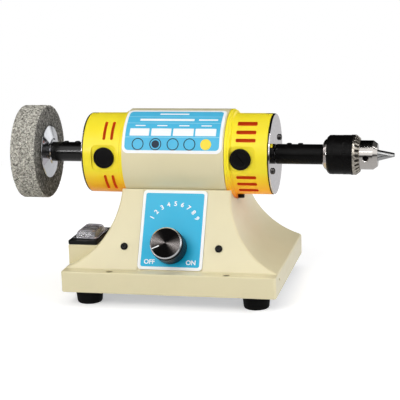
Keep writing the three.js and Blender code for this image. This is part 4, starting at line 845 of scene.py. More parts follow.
def floor_material():
    """Pale floor whose far parts fade into the white of the background."""
    material = bpy.data.materials.new("floor")
    t = Tree(material)
    ray = t.node("LightPath").outputs
    coord = t.add("TexCoord", output="Object")
    diffuse = t.add("BsdfDiffuse", {"Color": (0.86, 0.86, 0.86, 1)})
    dark = t.add("Emission", {"Strength": 0.0})
    glow = t.either(ray["Is Camera Ray"], dark, t.add("Emission", {"Strength": 0.4}))
    near = t.add("AddShader", {0: diffuse, 1: glow})
    reach = t.add("VectorMath", {0: coord}, "Value", operation="LENGTH")
    fade = t.spread(reach, 0.0, 1.0, 0.28, 0.6, interpolation_type="SMOOTHSTEP")
    both = t.either(t.times(fade, ray["Is Camera Ray"]), near, t.add("Emission"))
    # shiny parts see a dimmer floor that falls off towards the front
    forward = t.times(t.parts(coord)["Y"], -1.0)
    card = t.ramp(forward, *((place, (value, value, value, 1)) for place, value in CARD))
    mirrored = t.add("Emission", {"Color": card})
    t.node("OutputMaterial", {0: t.either(ray["Is Glossy Ray"], both, mirrored)})
    return material


FLOOR = 6000
floor = make("floor", [(-FLOOR, -FLOOR, 0), (FLOOR, -FLOOR, 0), (FLOOR, FLOOR, 0), (-FLOOR, FLOOR, 0)],
             [(0, 1, 2, 3)])
floor.data.materials.append(floor_material())


# Casing
def bezier(t, a, b, c, d):
    return (1 - t) ** 3 * a + 3 * (1 - t) ** 2 * t * b + 3 * (1 - t) * t * t * c + t ** 3 * d


def flare(z):
    """Half the pedestal's width at a height."""
    rise = PEDESTAL_TOP - SKIRT_TOP
    heights = (PEDESTAL_TOP, PEDESTAL_TOP - 0.43 * rise, SKIRT_TOP + 0.15 * rise, SKIRT_TOP)
    widths = (TOP_HALF, TOP_HALF, TOP_HALF + 0.385 * (FOOT_HALF - TOP_HALF), FOOT_HALF)
    low, high = 0.0, 1.0
    for _ in range(40):
        t = (low + high) / 2
        if bezier(t, *heights) > z:
            low = t
        else:
            high = t
    return bezier(t, *widths)


def pedestal(inset, low, high, corner, count):
    """The flared pedestal, drawn in on all sides."""
    levels = []
    for k in range(count + 1):
        z = low + (high - low) * (k / count) ** 1.25
        height = max(z, SKIRT_TOP)
        half = min(flare(height), 83.25) - inset
        lean = (height - SKIRT_TOP) * tan(SLOPE)
        wall = inset / cos(SLOPE)
        rear = min(REAR - lean - wall, 67.4)
        levels.append((z, MIDDLE - half, MIDDLE + half, FACE_FOOT + lean + wall, rear, corner))
    return stack("pedestal", levels)


FACE_SCREW = (37.2, 18.3)
LEDGE_SCREW = (45.6, -62.577)


def build_casing():
    skirt = stack("casing", [
        (11.2, -95.6, 71.0, -66.377, 67.623, 1.9),
        (11.45, -95.85, 71.25, -66.63, 67.87, 2.15),
        (11.8, -96.0, 71.4, -66.777, REAR, 2.3),
        (26.7, -96.0, 71.4, -66.777, REAR, 2.3),
        (27.15, -95.88, 71.28, -66.66, 67.9, 2.18),
        (27.5, -95.55, 70.95, -66.33, 67.57, 1.85),
        (27.7, -95.0, 70.4, -65.777, 67.023, 1.3),
    ])
    boolean(skirt, pedestal(0, 24, PEDESTAL_TOP, 2.2, 44), "UNION")
    switch_box = stack("box", [
        (24, -96.0, -70.0, -45.377, -0.077, 1.0),
        (42.6, -96.0, -70.0, -45.377, -0.077, 1.0),
        (43.15, -95.8, -70.2, -45.2, -0.25, 0.9),
        (43.4, -95.4, -70.6, -44.8, -0.65, 0.7),
    ])
    boolean(skirt, switch_box, "UNION")
    cuts = [
        stack("hollow", [(z, -93.5, 68.9, -64.277, 65.523, 2.0) for z in (0, 24.9)]),
        pedestal(2.5, 20, 70.0, 1.0, 20),
        rod(-160, 160, 35.3, 160, AXIS),
        block(51.4, 90, 0.4, -0.9, 8, FACE @ at(0, 44.6, 0)),
    ]
    for side in (-1, 1):
        cuts.append(rod(-11, 9, 2.2, 24, FACE @ at(side * FACE_SCREW[0], FACE_SCREW[1], 0)))
        cuts.append(lathe("sink", [(25.4, 0), (25.4, 1.8), (25.9, 1.8), (27.25, 3.1), (29, 3.1), (29, 0)],
                          32, at(MIDDLE + side * LEDGE_SCREW[0], LEDGE_SCREW[1], 0)))
        cuts.append(rod(-5, 5, 1.5, 24, at(MIDDLE + side * FOOT_HALF, -49.177, 21.9) @ ALONG_X))
    cuts += [
        rod(-3, 5, KNOB_BORE, 32, KNOB),
        rod(-6, 6, 5.1, 40, INLET),
        block(*WINDOW, 0.6, 36, 50, at(*SWITCH_PLACE, 0)),
    ]
    for tool in cuts:
        boolean(skirt, tool)
    return skirt


done(build_casing(), cream, "cream_paint", "base_shell", sharp=32)

FEET_ACROSS = (("left", -78.25), ("right", 53.65))
FEET_ALONG = (("front", -50.827), ("rear", 52.073))
for side, x in FEET_ACROSS:
    for end, y in FEET_ALONG:
        name = "foot_%s_%s" % (end, side)
        foot = spun(name + ".shown", [
            (0.8, 0), (0.8, 4.2, 0.3), (0, 4.8, 0.3), (0, 9.1, 0.7), (1.2, 9.8, 0.6), (11.3, 10.9, 0.4),
            (11.5, 10.6), (11.5, 2.4), (20.6, 2.4, 0.4), (20.6, 0)], 0.1, 72, at(x, y, 0), False)
        done(foot, rubber, "black_rubber", name)

grommet = spun("grommet", [(-8, 3.4), (-8, 4.8), (0.1, 4.8, 0.1), (0.1, 6.6, 0.1), (1.9, 6.5, 0.9),
                           (1.9, 3.4, 0.5)], 0.4, 64, INLET)
done(grommet, rubber, "black_rubber", "cord_inlet")


# Front panel
def flat(x, s, h):
    return FACE @ Vector((x, s, h))


board = sheet("panel_board", -25.4, 25.4, 0.8, 63.6, 3.0, flat, -0.6, 0.3, 8)
boolean(board, rod(-3, 3, KNOB_BORE, 48, KNOB))
done(board, label_white, "panel_film", "front_panel")
field = sheet("panel_field", -23.1, 23.1, 3.1, 61.3, 1.6, flat, 0.24, 0.36, 12)
boolean(field, rod(-3, 3, KNOB_BORE, 48, KNOB))
done(field, panel_film, "panel_film")


def lettering(text, size, x, s, turn=0.0):
    """Flat raised letters on the sloping face."""
    curve = bpy.data.curves.new("text", "FONT")
    curve.body = text
    curve.size = size * MM
    curve.extrude = 0.05 * MM
    curve.offset = 0.022 * size * MM
    curve.align_x = "CENTER"
    curve.align_y = "CENTER"
    curve.resolution_u = 4
    obj = bpy.data.objects.new("text", curve)
    scene.collection.objects.link(obj)
    mesh = evaluated(obj)
    mesh.transform(metres(FACE @ at(x, s, 0.40) @ Matrix.Rotation(turn, 4, "Z")))
    bpy.data.objects.remove(obj)
    bpy.data.curves.remove(curve)
    letters = bpy.data.objects.new("letters", mesh)
    scene.collection.objects.link(letters)
    return letters


letters = [lettering("OFF", 4.9, -16.2, 6.7), lettering("ON", 4.9, 16.4, 6.7)]
DIAL = 19.4
for i in range(9):
    a = radians(155 - 130 * i / 8)
    letters.append(lettering(str(i + 1), 5.0, 0.9 + DIAL * cos(a), 33.4 + DIAL * sin(a),
                             a - pi / 2))
done(merged("panel_lettering", letters), label_white, "panel_film", sharp=30, weighted=False)


def fluted(z, r, a):
    """Forty fine flutes round the knob's skirt."""
    if r > 12.35 and z < 15.2:
        return z, r - 0.16 * (0.5 - 0.5 * cos(40 * a)) ** 2
    return z, r


profile = soften([
    (13.0, 3.3, 0.2), (5, 3.3), (5, 9.0, 0.5), (1.0, 9.0), (1.0, 12.6, 0.5), (1.6, 12.8), (15.0, 12.8),
    (15.3, 12.3, 0.2), (17.5, 12.3, 0.2), (18.3, 11.5, 0.1), (18.45, 11.3, 0.05), (18.45, 3.3, 0.1),
], 0.3, True, 3)
skirt = lathe("knob_skirt", dense(profile, 2.5), 240, KNOB, True, fluted)
done(skirt, knob_black, "black_knob", "speed_knob", body="knob", sharp=40)
rim = spun("knob_rim", [(17.62, 12.25, 0.1), (17.72, 12.32, 0.1), (18.5, 11.46, 0.04),
                        (18.44, 11.38, 0.03), (17.6, 12.1)], 0.05, 120, KNOB, True, 2)
done(rim, knob_rim, "black_knob", body="knob")
# The disc's own origin lies on the knob's axis, so that the turned lines run round it
profile = [(18.3, 0), (18.3, 11.4), (18.45, 11.4), (18.48, 11.37)]
profile += [(18.48, (11.4 - 0.03) * (1 - k / 10)) for k in range(1, 10)] + [(18.48, 0)]
disc = lathe("knob_face", profile, 96)
disc.matrix_world = metres(KNOB)
done(disc, knob_top, "black_knob", body="knob", weighted=False)
pointer = slab("knob_pointer", 6.0, 0.8, 0.25, 18.35, 18.53, 0.03, KNOB @ turned_by(205) @ at(8.3, 0, 0), 3)
done(pointer, label_white, "black_knob", body="knob")

for side, label in ((-1, "left"), (1, "right")):
    place = FACE @ at(side * FACE_SCREW[0], FACE_SCREW[1], 0)
    screw = spun("face_screw_%s.shown" % label, [
        (-9, 0), (-9, 1.6), (-8.6, 1.9), (0.1, 1.9, 0.1), (0.1, 2.9, 0.15), (0.8, 2.85, 0.5),
        (1.65, 1.9, 0.6), (1.75, 0)], 0.2, 48, place, False)
    boolean(screw, prism("socket", hexagon(1.3), 0.6, 4, place))
    done(screw, oxide_screw, "dark_steel", "face_screw_" + label)
    place = at(MIDDLE + side * LEDGE_SCREW[0], LEDGE_SCREW[1], 0)
    screw = spun("ledge_screw_%s.shown" % label, [
        (18.1, 0), (18.1, 1.2, 0.2), (18.6, 1.5, 0.2), (25.7, 1.5), (27.1, 2.9), (27.1, 0)],
        0.1, 40, place, False)
    for width, height in ((3.4, 0.6), (0.6, 3.4)):
        boolean(screw, block(width, height, 0.2, 26.5, 28, place @ Matrix.Rotation(0.6 * side, 4, "Z")))
    done(screw, ledge_steel, "steel", "ledge_screw_" + label)

# Switch
bezel = slab("bezel", 23.4, 45.3, 1.5, 0.1, 3.2, 0.5, SWITCH)
boolean(bezel, block(*WINDOW, 0.4, -4, 8, SWITCH))
boolean(bezel, block(21.4, 43.3, 1.0, 2.9, 8, SWITCH, 4))
lip = slab("lip", 21.0, 32.0, 1.5, 2.2, 3.2, 0.2, SWITCH)
boolean(lip, block(14.8, 25.4, 0.4, -4, 8, SWITCH))
boolean(bezel, lip, "UNION")
done(bezel, bezel_plastic, "black_plastic", "switch_bezel")

DOME = ((3.32, 0, 2.0), (4.1, 0.2, 2.0), (6.4, 1.0, 2.2), (7.7, 1.5, 2.4), (8.4, 2.1, 2.4), (8.8, 2.9, 2.3),
        (8.95, 3.9, 2.2))
DOME_INSIDE = ((1.0, 0.5, 1.6), (4.1, 0.7, 1.6), (6.4, 1.5, 1.8), (7.6, 1.95, 2.0), (8.2, 2.6, 2.0),
               (8.5, 3.7, 1.8))


def cover_shape(levels):
    return stack("cover", [tier(z, 17.4, 28.4, inset, corner) for z, inset, corner in levels], SWITCH, 8)


cover = cover_shape(DOME)
boolean(cover, slab("flange", 19.8, 30.8, 2.0, 3.32, 4.0, 0.2, SWITCH), "UNION")
boolean(cover, cover_shape(DOME_INSIDE))
done(cover, vinyl, "clear_plastic", "switch_cover")

# The rocker: a hub with two arms, dished on top, tilted down at the front
HUB = 4.6
SOLE = 1.2
dip = asin(SOLE / HUB)
outline = [(10.7, 2.3), (6, 1.45), (0, 1.2), (-6, 1.45), (-10.7, 2.3), (-10.9, 1.6), (-10.7, -SOLE),
           (-4.4, -SOLE)]
for k in range(9):
    a = pi + dip + (pi - 2 * dip) * k / 8
    outline.append((HUB * cos(a), HUB * sin(a)))
outline += [(4.4, -SOLE), (10.7, -SOLE), (10.9, 1.6)]
rocker = prism("rocker", soften(outline, 0.35, True, 2), -5.9, 5.9, ROCKER @ ALONG_X)
edge = rocker.modifiers.new("edge", "BEVEL")
edge.width = 0.4 * MM
edge.segments = 2
edge.limit_method = "ANGLE"
edge.angle_limit = radians(50)
baked(rocker)
done(rocker, black_plastic, "black_plastic", "switch_rocker", body="rocker")
zero = spun("rocker_zero", [(1.5, 1.5), (1.5, 2.1), (1.75, 2.1), (1.75, 1.5)], 0.03, 48,
            ROCKER @ at(0, -6.4, 0.04) @ turned_by(-4, "X"), True, 1)
done(zero, label_white, "black_plastic", body="rocker")

# Drum and its label
drum = spun("drum", [(-52.9, 33.2), (-52.9, DRUM_RADIUS, 0.35), (27.2, DRUM_RADIUS, 0.35),
                     (27.2, 33.2)], 0.1, 192)
done(drum, cream, "cream_paint", "motor_drum")


def round_drum(x, s, h):
    return barrel(x, s / DRUM_RADIUS, DRUM_RADIUS + h)


def arc(degrees):
    return radians(degrees) * DRUM_RADIUS


# How far the printed marks' lower and upper faces stand off the drum
INK = (0.38, 0.47)


def mark(name, x0, x1, degrees, half, corner, rows, top=INK[1]):
    """A printed shape on the label, about a line at an angle above the front."""
    middle = arc(degrees)
    return sheet(name, x0, x1, middle - half, middle + half, corner, round_drum, INK[0], top, rows)


def ring_mark(x, degrees, inner=4.0, outer=4.7, seg=40):
    points, faces = [], []
    for h in INK:
        for r in (inner, outer):
            for k in range(seg):
                a = 2 * pi * k / seg
                points.append(round_drum(x + r * cos(a), arc(degrees) + r * sin(a), h))
    for k in range(seg):
        a, b, c, d = (k + i * seg for i in range(4))
        a1, b1, c1, d1 = ((k + 1) % seg + i * seg for i in range(4))
        faces += [(c, d, d1, c1), (a, a1, b1, b), (b, b1, d1, d), (a, c, c1, a1)]
    return solid("ring", points, faces)


band = sheet("label_film", -52.4, 26.1, arc(9.6), arc(79.0), 4.6, round_drum, 0.08, 0.36, 40)
done(band, label_white, "panel_film", "label_band")
patch = sheet("label_field", -50.4, 24.0, arc(13.5), arc(74.6), 3.0, round_drum, 0.3, 0.42, 36)
done(patch, label_blue, "panel_film")
rules = [mark("rule", -50.3, 23.9, d, 0.2, 0.05, 2, 0.46) for d in (62.2, 50.6, 30.2)]
done(merged("label_rules", rules), label_rule, "panel_film", weighted=False)
boxes = [sheet("box", x0, x1, arc(32.0), arc(42.2), 0.5, round_drum, *INK, 6)
         for x0, x1 in ((-47.0, -31.6), (-29.9, -14.2), (-12.7, 3.4), (4.8, 21.0))]
boxes += [mark("bar", x0, x1, d, half, 0.3, 3)
          for x0, x1, d, half in ((-26, -3, 68.0, 0.85), (-40.5, 2.5, 56.2, 1.15), (6, 21, 56.2, 0.75))]
boxes += [mark("dash", x - 4, x + 4, 46.5, 0.5, 0.2, 2) for x in (-39.3, -22, -4.6, 12.9)]
done(merged("label_boxes", boxes), label_white, "panel_film", weighted=False)
DOTS = 21.2
rings = [ring_mark(x, DOTS) for x in (-39.9, -25.9, -12.2, 0.9)]
rings.append(mark("disc", -28.9, -22.9, DOTS, 3, 2.95, 10))
done(merged("label_rings", rings), label_dark, "panel_film", weighted=False)
dot = mark("label_dot", 9.4, 17.8, DOTS, 4.2, 4.15, 14)
done(dot, label_yellow, "panel_film", weighted=False)


# End bells
def pocketed_bell(name, profile, bore, pocket):
    """A bell's shell, with painted shade in its bore, with a pocket for the plug at the front and at the
    rear.
    """
    obj = spun(name, profile, 0.3, 160)
    two_tone(obj, yellow, painted_inner_shade, lambda x, r: r < BELL_BORE + 0.15 and bore[0] < x < bore[1])
    for place in front_and_rear(pocket):
        boolean(obj, block(20, 20, 4, 29.9, 42, place, 6), finish=yellow)
    return obj


def slotted(obj, slots, notch):
    """Cuts a bell's slots, whose walls get the painted shade, and the notch for its gasket's tab."""
    boolean(obj, merged("slots", slots), finish=painted_inner_shade)
    boolean(obj, block(4, 11.4, 0.3, 27, 40, on_motor(notch, 90 + TURN)), finish=yellow)


bell = pocketed_bell("right_bell", [
    (21.2, BELL_BORE), (21.2, 32.9), (27.5, 32.9, 0.05), (27.5, DRUM_RADIUS, 0.35),
    (29.3, DRUM_RADIUS, 0.5), (29.9, 34.0, 0.2), (31.3, 33.9, 0.5), (32.1, 31.6, 0.6),
    (60.2, BELL_RADIUS, 0.4), (60.2, BELL_BORE, 0.2)], (21.5, 59.3), 40.9)
slots = []
for d in (26.8, 39.1, 54.5):
    for sign in (1, -1):
        beside = at(sign * BELL_RADIUS * sin(radians(d)), 0, 0)
        slots += [block(2.6, 15.4, 0.9, 4, 42, place @ beside, 4) for place in front_and_rear(43.4)]
slotted(bell, slots, 60.4)
boolean(bell, rod(-8, 4, 1.8, 24, on_motor(*LUG, 29)), finish=yellow)
done(bell, yellow, "yellow_paint", "right_end_bell", sharp=32)


def bell_inside(name, pillar, low, high, plug, parts=()):
    """Pillars for the plate's screws, and a ring that closes the view, open where the plugs are, all coloured
    in the painted shade.
    """
    pillars = [slab("pillar", 6, 8, 0.6, 17, 30.0, 0.3, on_motor(pillar, a + TURN), 3) for a in SCREW_ANGLES]
    ring = lathe("painted_shade_ring", [(low, 25.6), (low, 26.6), (high, 26.6), (high, 25.6)], 96, AXIS, True)
    for place in front_and_rear(plug):
        boolean(ring, block(15, 30, 1, 10, 40, place))
    done(merged(name, [*pillars, *parts, ring]), painted_inner_shade, "yellow_paint")


parts = []
for place in front_and_rear(39.4):
    holder = slab("brush_holder", 14, 14, 0.8, 15, 29.3, 0.4, place, 3)
    boolean(holder, block(6.0, 7.6, 0.2, 10, 40, place))
    parts.append(holder)
parts.append(slab("peg_foot", 2.4, 8, 0.3, 22.1, 30.0, 0.2, on_motor(55.6, PEG_ANGLE + TURN), 2))
bell_inside("right_bell_inside", 55.6, 32.5, 54.5, 43.5, parts)
bell_inside("left_bell_inside", -80.2, -78.5, -54.0, -68.5)

peg = spun("locating_peg", [(58.8, 0), (58.8, 1.5), (62.8, 1.5, 0.35), (62.8, 0)], 0.1, 40,
           beside_axis(PEG_CIRCLE, PEG_ANGLE), False)
done(peg, yellow, "yellow_paint")

bell = pocketed_bell("left_bell", [
    (-45.8, BELL_BORE), (-45.8, 32.9), (-53.2, 32.9, 0.05), (-53.2, 33.2, 0.2),
    (-55.4, 33.2, 0.5), (-56.0, 31.7, 0.4), (-85.3, BELL_RADIUS, 0.4), (-85.3, BELL_BORE, 0.2)],
    (-83.9, -46), -68.5)
slots = []
for x in (-62.3, -68.5):
    for middle in (41.5, -41.5, 138.5, 221.5):
        a = radians(middle + TURN)
        outline = rounded(2.3, radians(31) * BELL_RADIUS, 1.1)
        lower, upper = ([barrel(x + u, a + s / BELL_RADIUS, BELL_RADIUS + h) for u, s in outline]
                        for h in (-8, 6))
        slots.append(between("slot", lower, upper))
slotted(bell, slots, -85.5)
done(bell, yellow, "yellow_paint", "left_end_bell", sharp=32)

# Gaskets and end plates
for side, sign, x0, x1 in (("right", 1, 60.3, 60.85), ("left", -1, -85.4, -85.95)):
    ring = spun(side + "_gasket.shown", [(x0, 28.55), (x0, 31.5), (x1, 31.5), (x1, 28.55)], 0.15, 128,
                steps=2)
    low, high = sorted((x0 - sign * 5.2, x1))
    boolean(ring, block(3.4, high - low, 0.2, 29.2, 31.35, on_motor((low + high) / 2, 90 + TURN)), "UNION")
    done(ring, gasket_rubber, "black_rubber", side + "_gasket")

SCREW_CIRCLE = 20
PLATE_BORE = 4.6
PLATE_RADIUS = 31.2
CUP_RADIUS = 13.3
for side, sign, x0, x1 in (("right", 1, 60.95, 62.0), ("left", -1, -86.05, -86.6)):
    cup = x0 - sign * 7.3
    plate = spun(side + "_plate.shown", [
        (x1, PLATE_BORE), (x1, PLATE_RADIUS, 0.25), (x0, PLATE_RADIUS, 0.15), (x0, CUP_RADIUS, 0.4),
        (cup, CUP_RADIUS, 0.4), (cup, 11.3, 0.3), (x0, 11.3, 0.05), (x0, PLATE_BORE)], 0.2, 144)
    low, high = sorted((x0, x1))
    for angle in SCREW_ANGLES:
        boolean(plate, rod(low - 4, high + 4, 1.8, 24, beside_axis(SCREW_CIRCLE, angle)))
    if side == "right":
        boolean(plate, rod(55, 66, 1.7, 32, beside_axis(PEG_CIRCLE, PEG_ANGLE)))
    done(plate, plate_grey, "grey_plate", side + "_end_plate")

for label, angle, turn in (("lower", SCREW_ANGLES[0], 30), ("upper", SCREW_ANGLES[1], 55)):
    place = beside_axis(SCREW_CIRCLE, angle, 62.1)
    screw = spun("plate_screw_%s.shown" % label, [
        (-7, 0), (-7, 1.2), (-6.6, 1.5), (0, 1.5, 0.05), (0, 2.5), (0.9, 2.5, 0.7), (1.75, 1.6, 0.8),
        (1.9, 0)], 0.2, 56, place, False)
    screw.data.materials.append(pan_steel.material)
    # The cross recess's walls get the painted hole shade
    for quarter in (0, 90):
        boolean(screw, block(3.2, 0.75, 0.25, 0.7, 4, place @ turned_by(turn + quarter), 3), finish=painted_hole_shade)
    done(screw, pan_steel, "bright_steel", "plate_screw_" + label)

lug = spun("clamp_screw", [(28.8, 0), (28.8, 1.5, 0.1), (31.9, 1.5, 0.05), (31.9, 2.6),
                           (34.8, 2.6, 0.4), (34.8, 0)], 0.2, 48, on_motor(*LUG), False)
boolean(lug, prism("socket", hexagon(1.35), 33.0, 36, on_motor(*LUG)))
done(lug, oxide_screw, "dark_steel", "bell_clamp_screw")

# Plugs in the bells' sides: slotted brush caps on the right, plain ones on the left
CAP = [(30.0, 0), (30.0, 8.2), (31.65, 8.2, 0.55), (31.65, 6.3), (31.0, 5.7, 0.25), (31.0, 0)]
PLUG = [(30.0, 0), (30.0, 8.2), (31.65, 8.2, 0.7), (31.7, 6.2, 0.1), (31.55, 6.0, 0.1), (31.55, 5.7, 0.1),
        (31.75, 5.4, 0.1), (31.8, 0)]
for node, x, profile in (("brush_cap", 39.4, CAP), ("blind_plug", -68.5, PLUG)):
    for label, place in zip(("_front", "_rear"), front_and_rear(x)):
        plug = spun(node + label + ".shown", profile, 0.2, 96, place, False)
        if profile is CAP:
            boolean(plug, block(8.4, 1.3, 0.4, 30.2, 34, place @ turned_by(38), 3))
        done(plug, black_plastic, "black_plastic", node + label)


# Shaft ends
def set_screws(*places):
    screws = []
    for x in places:
        place = at(x, DEPTH, AXIS_Z)
        profile = [(4.6, 0), (4.6, 2.0), (8.55, 2.0, 0.35), (8.55, 0)]
        screw = spun("set_screw", profile, 0.1, 40, place, False)
        boolean(screw, prism("socket", hexagon(1.15), 7.4, 10, place))
        screws.append(screw)
    return screws


adaptor = spun("adaptor", [
    (85.5, 0), (85.5, 4.3), (62.35, 4.3), (62.35, 7.5), (62.65, ADAPTOR_RADIUS, 0.2),
    (98.4, ADAPTOR_RADIUS, 0.3), (98.45, 5.2), (113.5, 4.7, 0.3), (113.5, 0)], 0.1, 96, AXIS, False)
adaptor = merged("right_adaptor.shown", [adaptor] + set_screws(72.5, 81.3))
done(adaptor, black_oxide, "dark_steel", "right_adaptor", body="spindle")


def threaded(z, r, a):
    """A fine thread cut into the arbor."""
    if r > 4.6 and z < -119.1:
        turn = (z / 1.25 + a / (2 * pi)) % 1.0
        return z, r - 0.38 * (1 - abs(2 * turn - 1))
    return z, r


ARBOR = 5.0
profile = [(-110.2, 0.02), (-110.2, 4.3), (-86.95, 4.3), (-86.95, 7.5), (-87.25, ADAPTOR_RADIUS),
           (-118.9, ADAPTOR_RADIUS), (-119.0, 7.7), (-119.0, ARBOR)]
profile += [(z, ARBOR) for z in run(-119.3, -152.0, -0.3)]
profile += [(-152.1, ARBOR), (-153.25, 3.9), (-153.25, 0.02)]
adaptor = lathe("adaptor", profile, 72, AXIS, False, threaded)
bm = opened(adaptor)
bmesh.ops.holes_fill(bm, edges=bm.edges)
bmesh.ops.recalc_face_normals(bm, faces=bm.faces)
close(bm, adaptor)
adaptor = merged("left_adaptor.shown", [adaptor] + set_screws(-99.1, -108.5))
done(adaptor, left_oxide, "dark_steel", "left_adaptor", body="spindle", sharp=30)

flange = spun("inner_flange.shown", [
    (-119.1, ARBOR_HOLE), (-119.1, 9.4, 0.6), (-119.9, 10.6, 0.8), (-120.2, 12.2, 1.0),
    (-122.3, 20.3, 0.5), (-122.6, FLANGE_RADIUS, 0.25), (-123.15, FLANGE_RADIUS), (-123.2, 14, 0.3),
    (-122.2, 13, 0.3), (-122.2, ARBOR_HOLE)], 0.2, 160, steps=5)
done(flange, chrome, "bright_steel", "inner_flange", body="spindle", sharp=40)
flange = spun("outer_flange.shown", [
    (-146.35, ARBOR_HOLE), (-146.35, 17.6, 0.8), (-144.3, 21.0, 0.4), (-143.2, FLANGE_RADIUS),
    (-143.2, 14, 0.3), (-144.1, 13.6), (-144.1, ARBOR_HOLE)], 0.2, 144, steps=5)
done(flange, chrome, "bright_steel", "outer_flange", body="spindle", sharp=40)

nut = prism("arbor_nut.shown", hexagon(9.15), -152.05, -146.5, AXIS)
chamfer = lathe("chamfer", [(-152.2, 0), (-152.2, 7.7), (-151.1, 9.3), (-147.5, 9.3), (-146.4, 7.9),
                            (-146.4, 0)], 96, AXIS)
boolean(nut, chamfer, "INTERSECT")
boolean(nut, rod(-160, -140, ARBOR_HOLE, 64, AXIS))
done(nut, screw_steel, "steel", "arbor_nut", body="spindle")

# The wheel: matted fibre with open pores, all of it inside the turned blank
WHEEL = (-143.1, -123.3)
WHEEL_MIDDLE = (WHEEL[0] + WHEEL[1]) / 2
WHEEL_RADIUS = 37.46
WHEEL_STEP = 0.85


def wheel_profile():
    low, high = WHEEL
    edge = WHEEL_RADIUS
    points = [(high, r) for r in run(ARBOR_HOLE, edge - 1.0, WHEEL_STEP)]
    points += [(high, edge - 0.7), (high - 0.2, edge - 0.25), (high - 0.6, edge)]
    points += [(z, edge) for z in run(high - 1.4, low + 0.9, -WHEEL_STEP)]
    points += [(low + 0.6, edge), (low + 0.2, edge - 0.25), (low, edge - 0.7)]
    points += [(low, r) for r in run(edge - 1.4, ARBOR_HOLE, -WHEEL_STEP)]
    return points + [(low, ARBOR_HOLE)]


def ragged(z, r, a):
    """Pores and tufts. The sides are pressed in under the flanges."""
    if r < 6:
        return z, r
    p = Vector((z, r * cos(a), r * sin(a)))
    pores = max(0.0, noise.noise(p * 0.75) * 0.9 + noise.noise(p * 1.9) * 0.6 - 0.12)
    tufts = 0.5 + 0.5 * noise.noise(p * 0.33 + Vector((9, 0, 0)))
    if r > WHEEL_RADIUS - 0.9:
        return z + (WHEEL_MIDDLE - z) * 0.02 * pores, r - min(1.5, 1.5 * pores) - 0.35 * tufts
    sign = 1 if z > WHEEL_MIDDLE else -1
    free = min(1.0, max(0.0, (r - 20.5) / 3.0))
    z -= sign * min(1.3, pores * (0.35 + 0.9 * free))
    return z - sign * 0.3 * (1 - free) - sign * 0.25 * tufts, r


wheel = lathe("wheel", wheel_profile(), 330, AXIS, True, ragged)
# The cut sides get the fibre that is pressed and painted darker for shade
two_tone(wheel, wheel_fibre, wheel_side_shaded,
         lambda x, r: r < WHEEL_RADIUS - 1.0 and abs(x - WHEEL_MIDDLE) > 7.5)
done(wheel, wheel_fibre, "abrasive_fibre", "buffing_wheel", body="spindle", sharp=60, weighted=False)


# Chuck
def at_chuck(*points):
    return [(CHUCK + p[0], *p[1:]) for p in points]


def smooth_step(t):
    t = min(1.0, max(0.0, t))
    return t * t * (3 - 2 * t)


def knurled(z, r, a):
    """Two bands of fine lines round the sleeve."""
    u = z - CHUCK
    if r > 14.6:
        for low, high in ((6.4, 9.4), (16.2, 19.6)):
            if low <= u <= high:
                edge = min(smooth_step((u - low) / 0.4), smooth_step((high - u) / 0.4))
                return z, r - 0.13 * edge * (0.5 - 0.5 * cos(72 * a))
    return z, r


def toothed(z, r, a):
    """The gaps between the gear ring's teeth, deeper towards the front."""
    u = z - CHUCK
    if r > 12.2 and u > 24.9:
        t = (a * TEETH / (2 * pi)) % 1.0
        gap = 1 - smooth_step((abs(t - 0.5) - 0.13 - 0.05 * smooth_step((u - 25.2) / 3)) / 0.12)
        depth = 1.3 * smooth_step((u - 24.9) / 1.7)
        return z - 0.15 * gap * depth, r - depth * gap
    return z, r


def in_gap(x, r):
    """Whether a face lies below the cone of the teeth's tips."""
    u = x - CHUCK
    cone = min(15.45, 15.45 - 0.8 * (u - 25.6))
    return 12.0 < r < cone - 0.32 and u > 24.9


profile = soften(at_chuck(
    (3.7, 12.75), (3.7, 13.4, 0.2), (4.0, 13.8, 0.2), (5.5, 15.05, 0.6), (8.9, 15.18), (9.0, 15.1, 0.05),
    (15.4, 15.1, 0.05), (15.5, 15.18), (21.9, 15.18), (22.1, 15.45), (23.7, 15.45), (23.7, 13.3),
    (5.95, 13.3), (5.95, 12.75)), 0.1, True, 3)
sleeve = lathe("chuck_sleeve.shown", dense(profile, 0.8), 360, AXIS, True, knurled)
done(sleeve, black_oxide, "dark_steel", "chuck_sleeve", body="sleeve", sharp=40)
profile = soften(at_chuck(
    (23.7, 13.3), (23.7, 15.45), (25.7, 15.45, 0.5), (28.7, 13.05, 0.3), (28.8, 11.6), (25.75, 11.6),
    (25.75, 13.3)), 0.1, True, 3)
gear = lathe("chuck_gear_ring", dense(profile, 0.35), 480, AXIS, True, toothed)
# The gaps between the teeth get the painted shade
two_tone(gear, gear_steel, gear_gap_shade, in_gap)
done(gear, gear_steel, "steel", body="sleeve", sharp=45)

# Where the jaws' middle lines would meet on the axis, from the chuck's start
CROSS = JAW_TIP - (JAW_RADIUS / cos(SLANT) - 1.2) / tan(SLANT)


def jaw_frame(turn):
    """Local Z runs forwards along a jaw, local X away from the chuck's axis."""
    return AXIS @ turned_by(turn) @ at(0, 0, CHUCK + CROSS) @ Matrix.Rotation(-SLANT, 4, "Y")


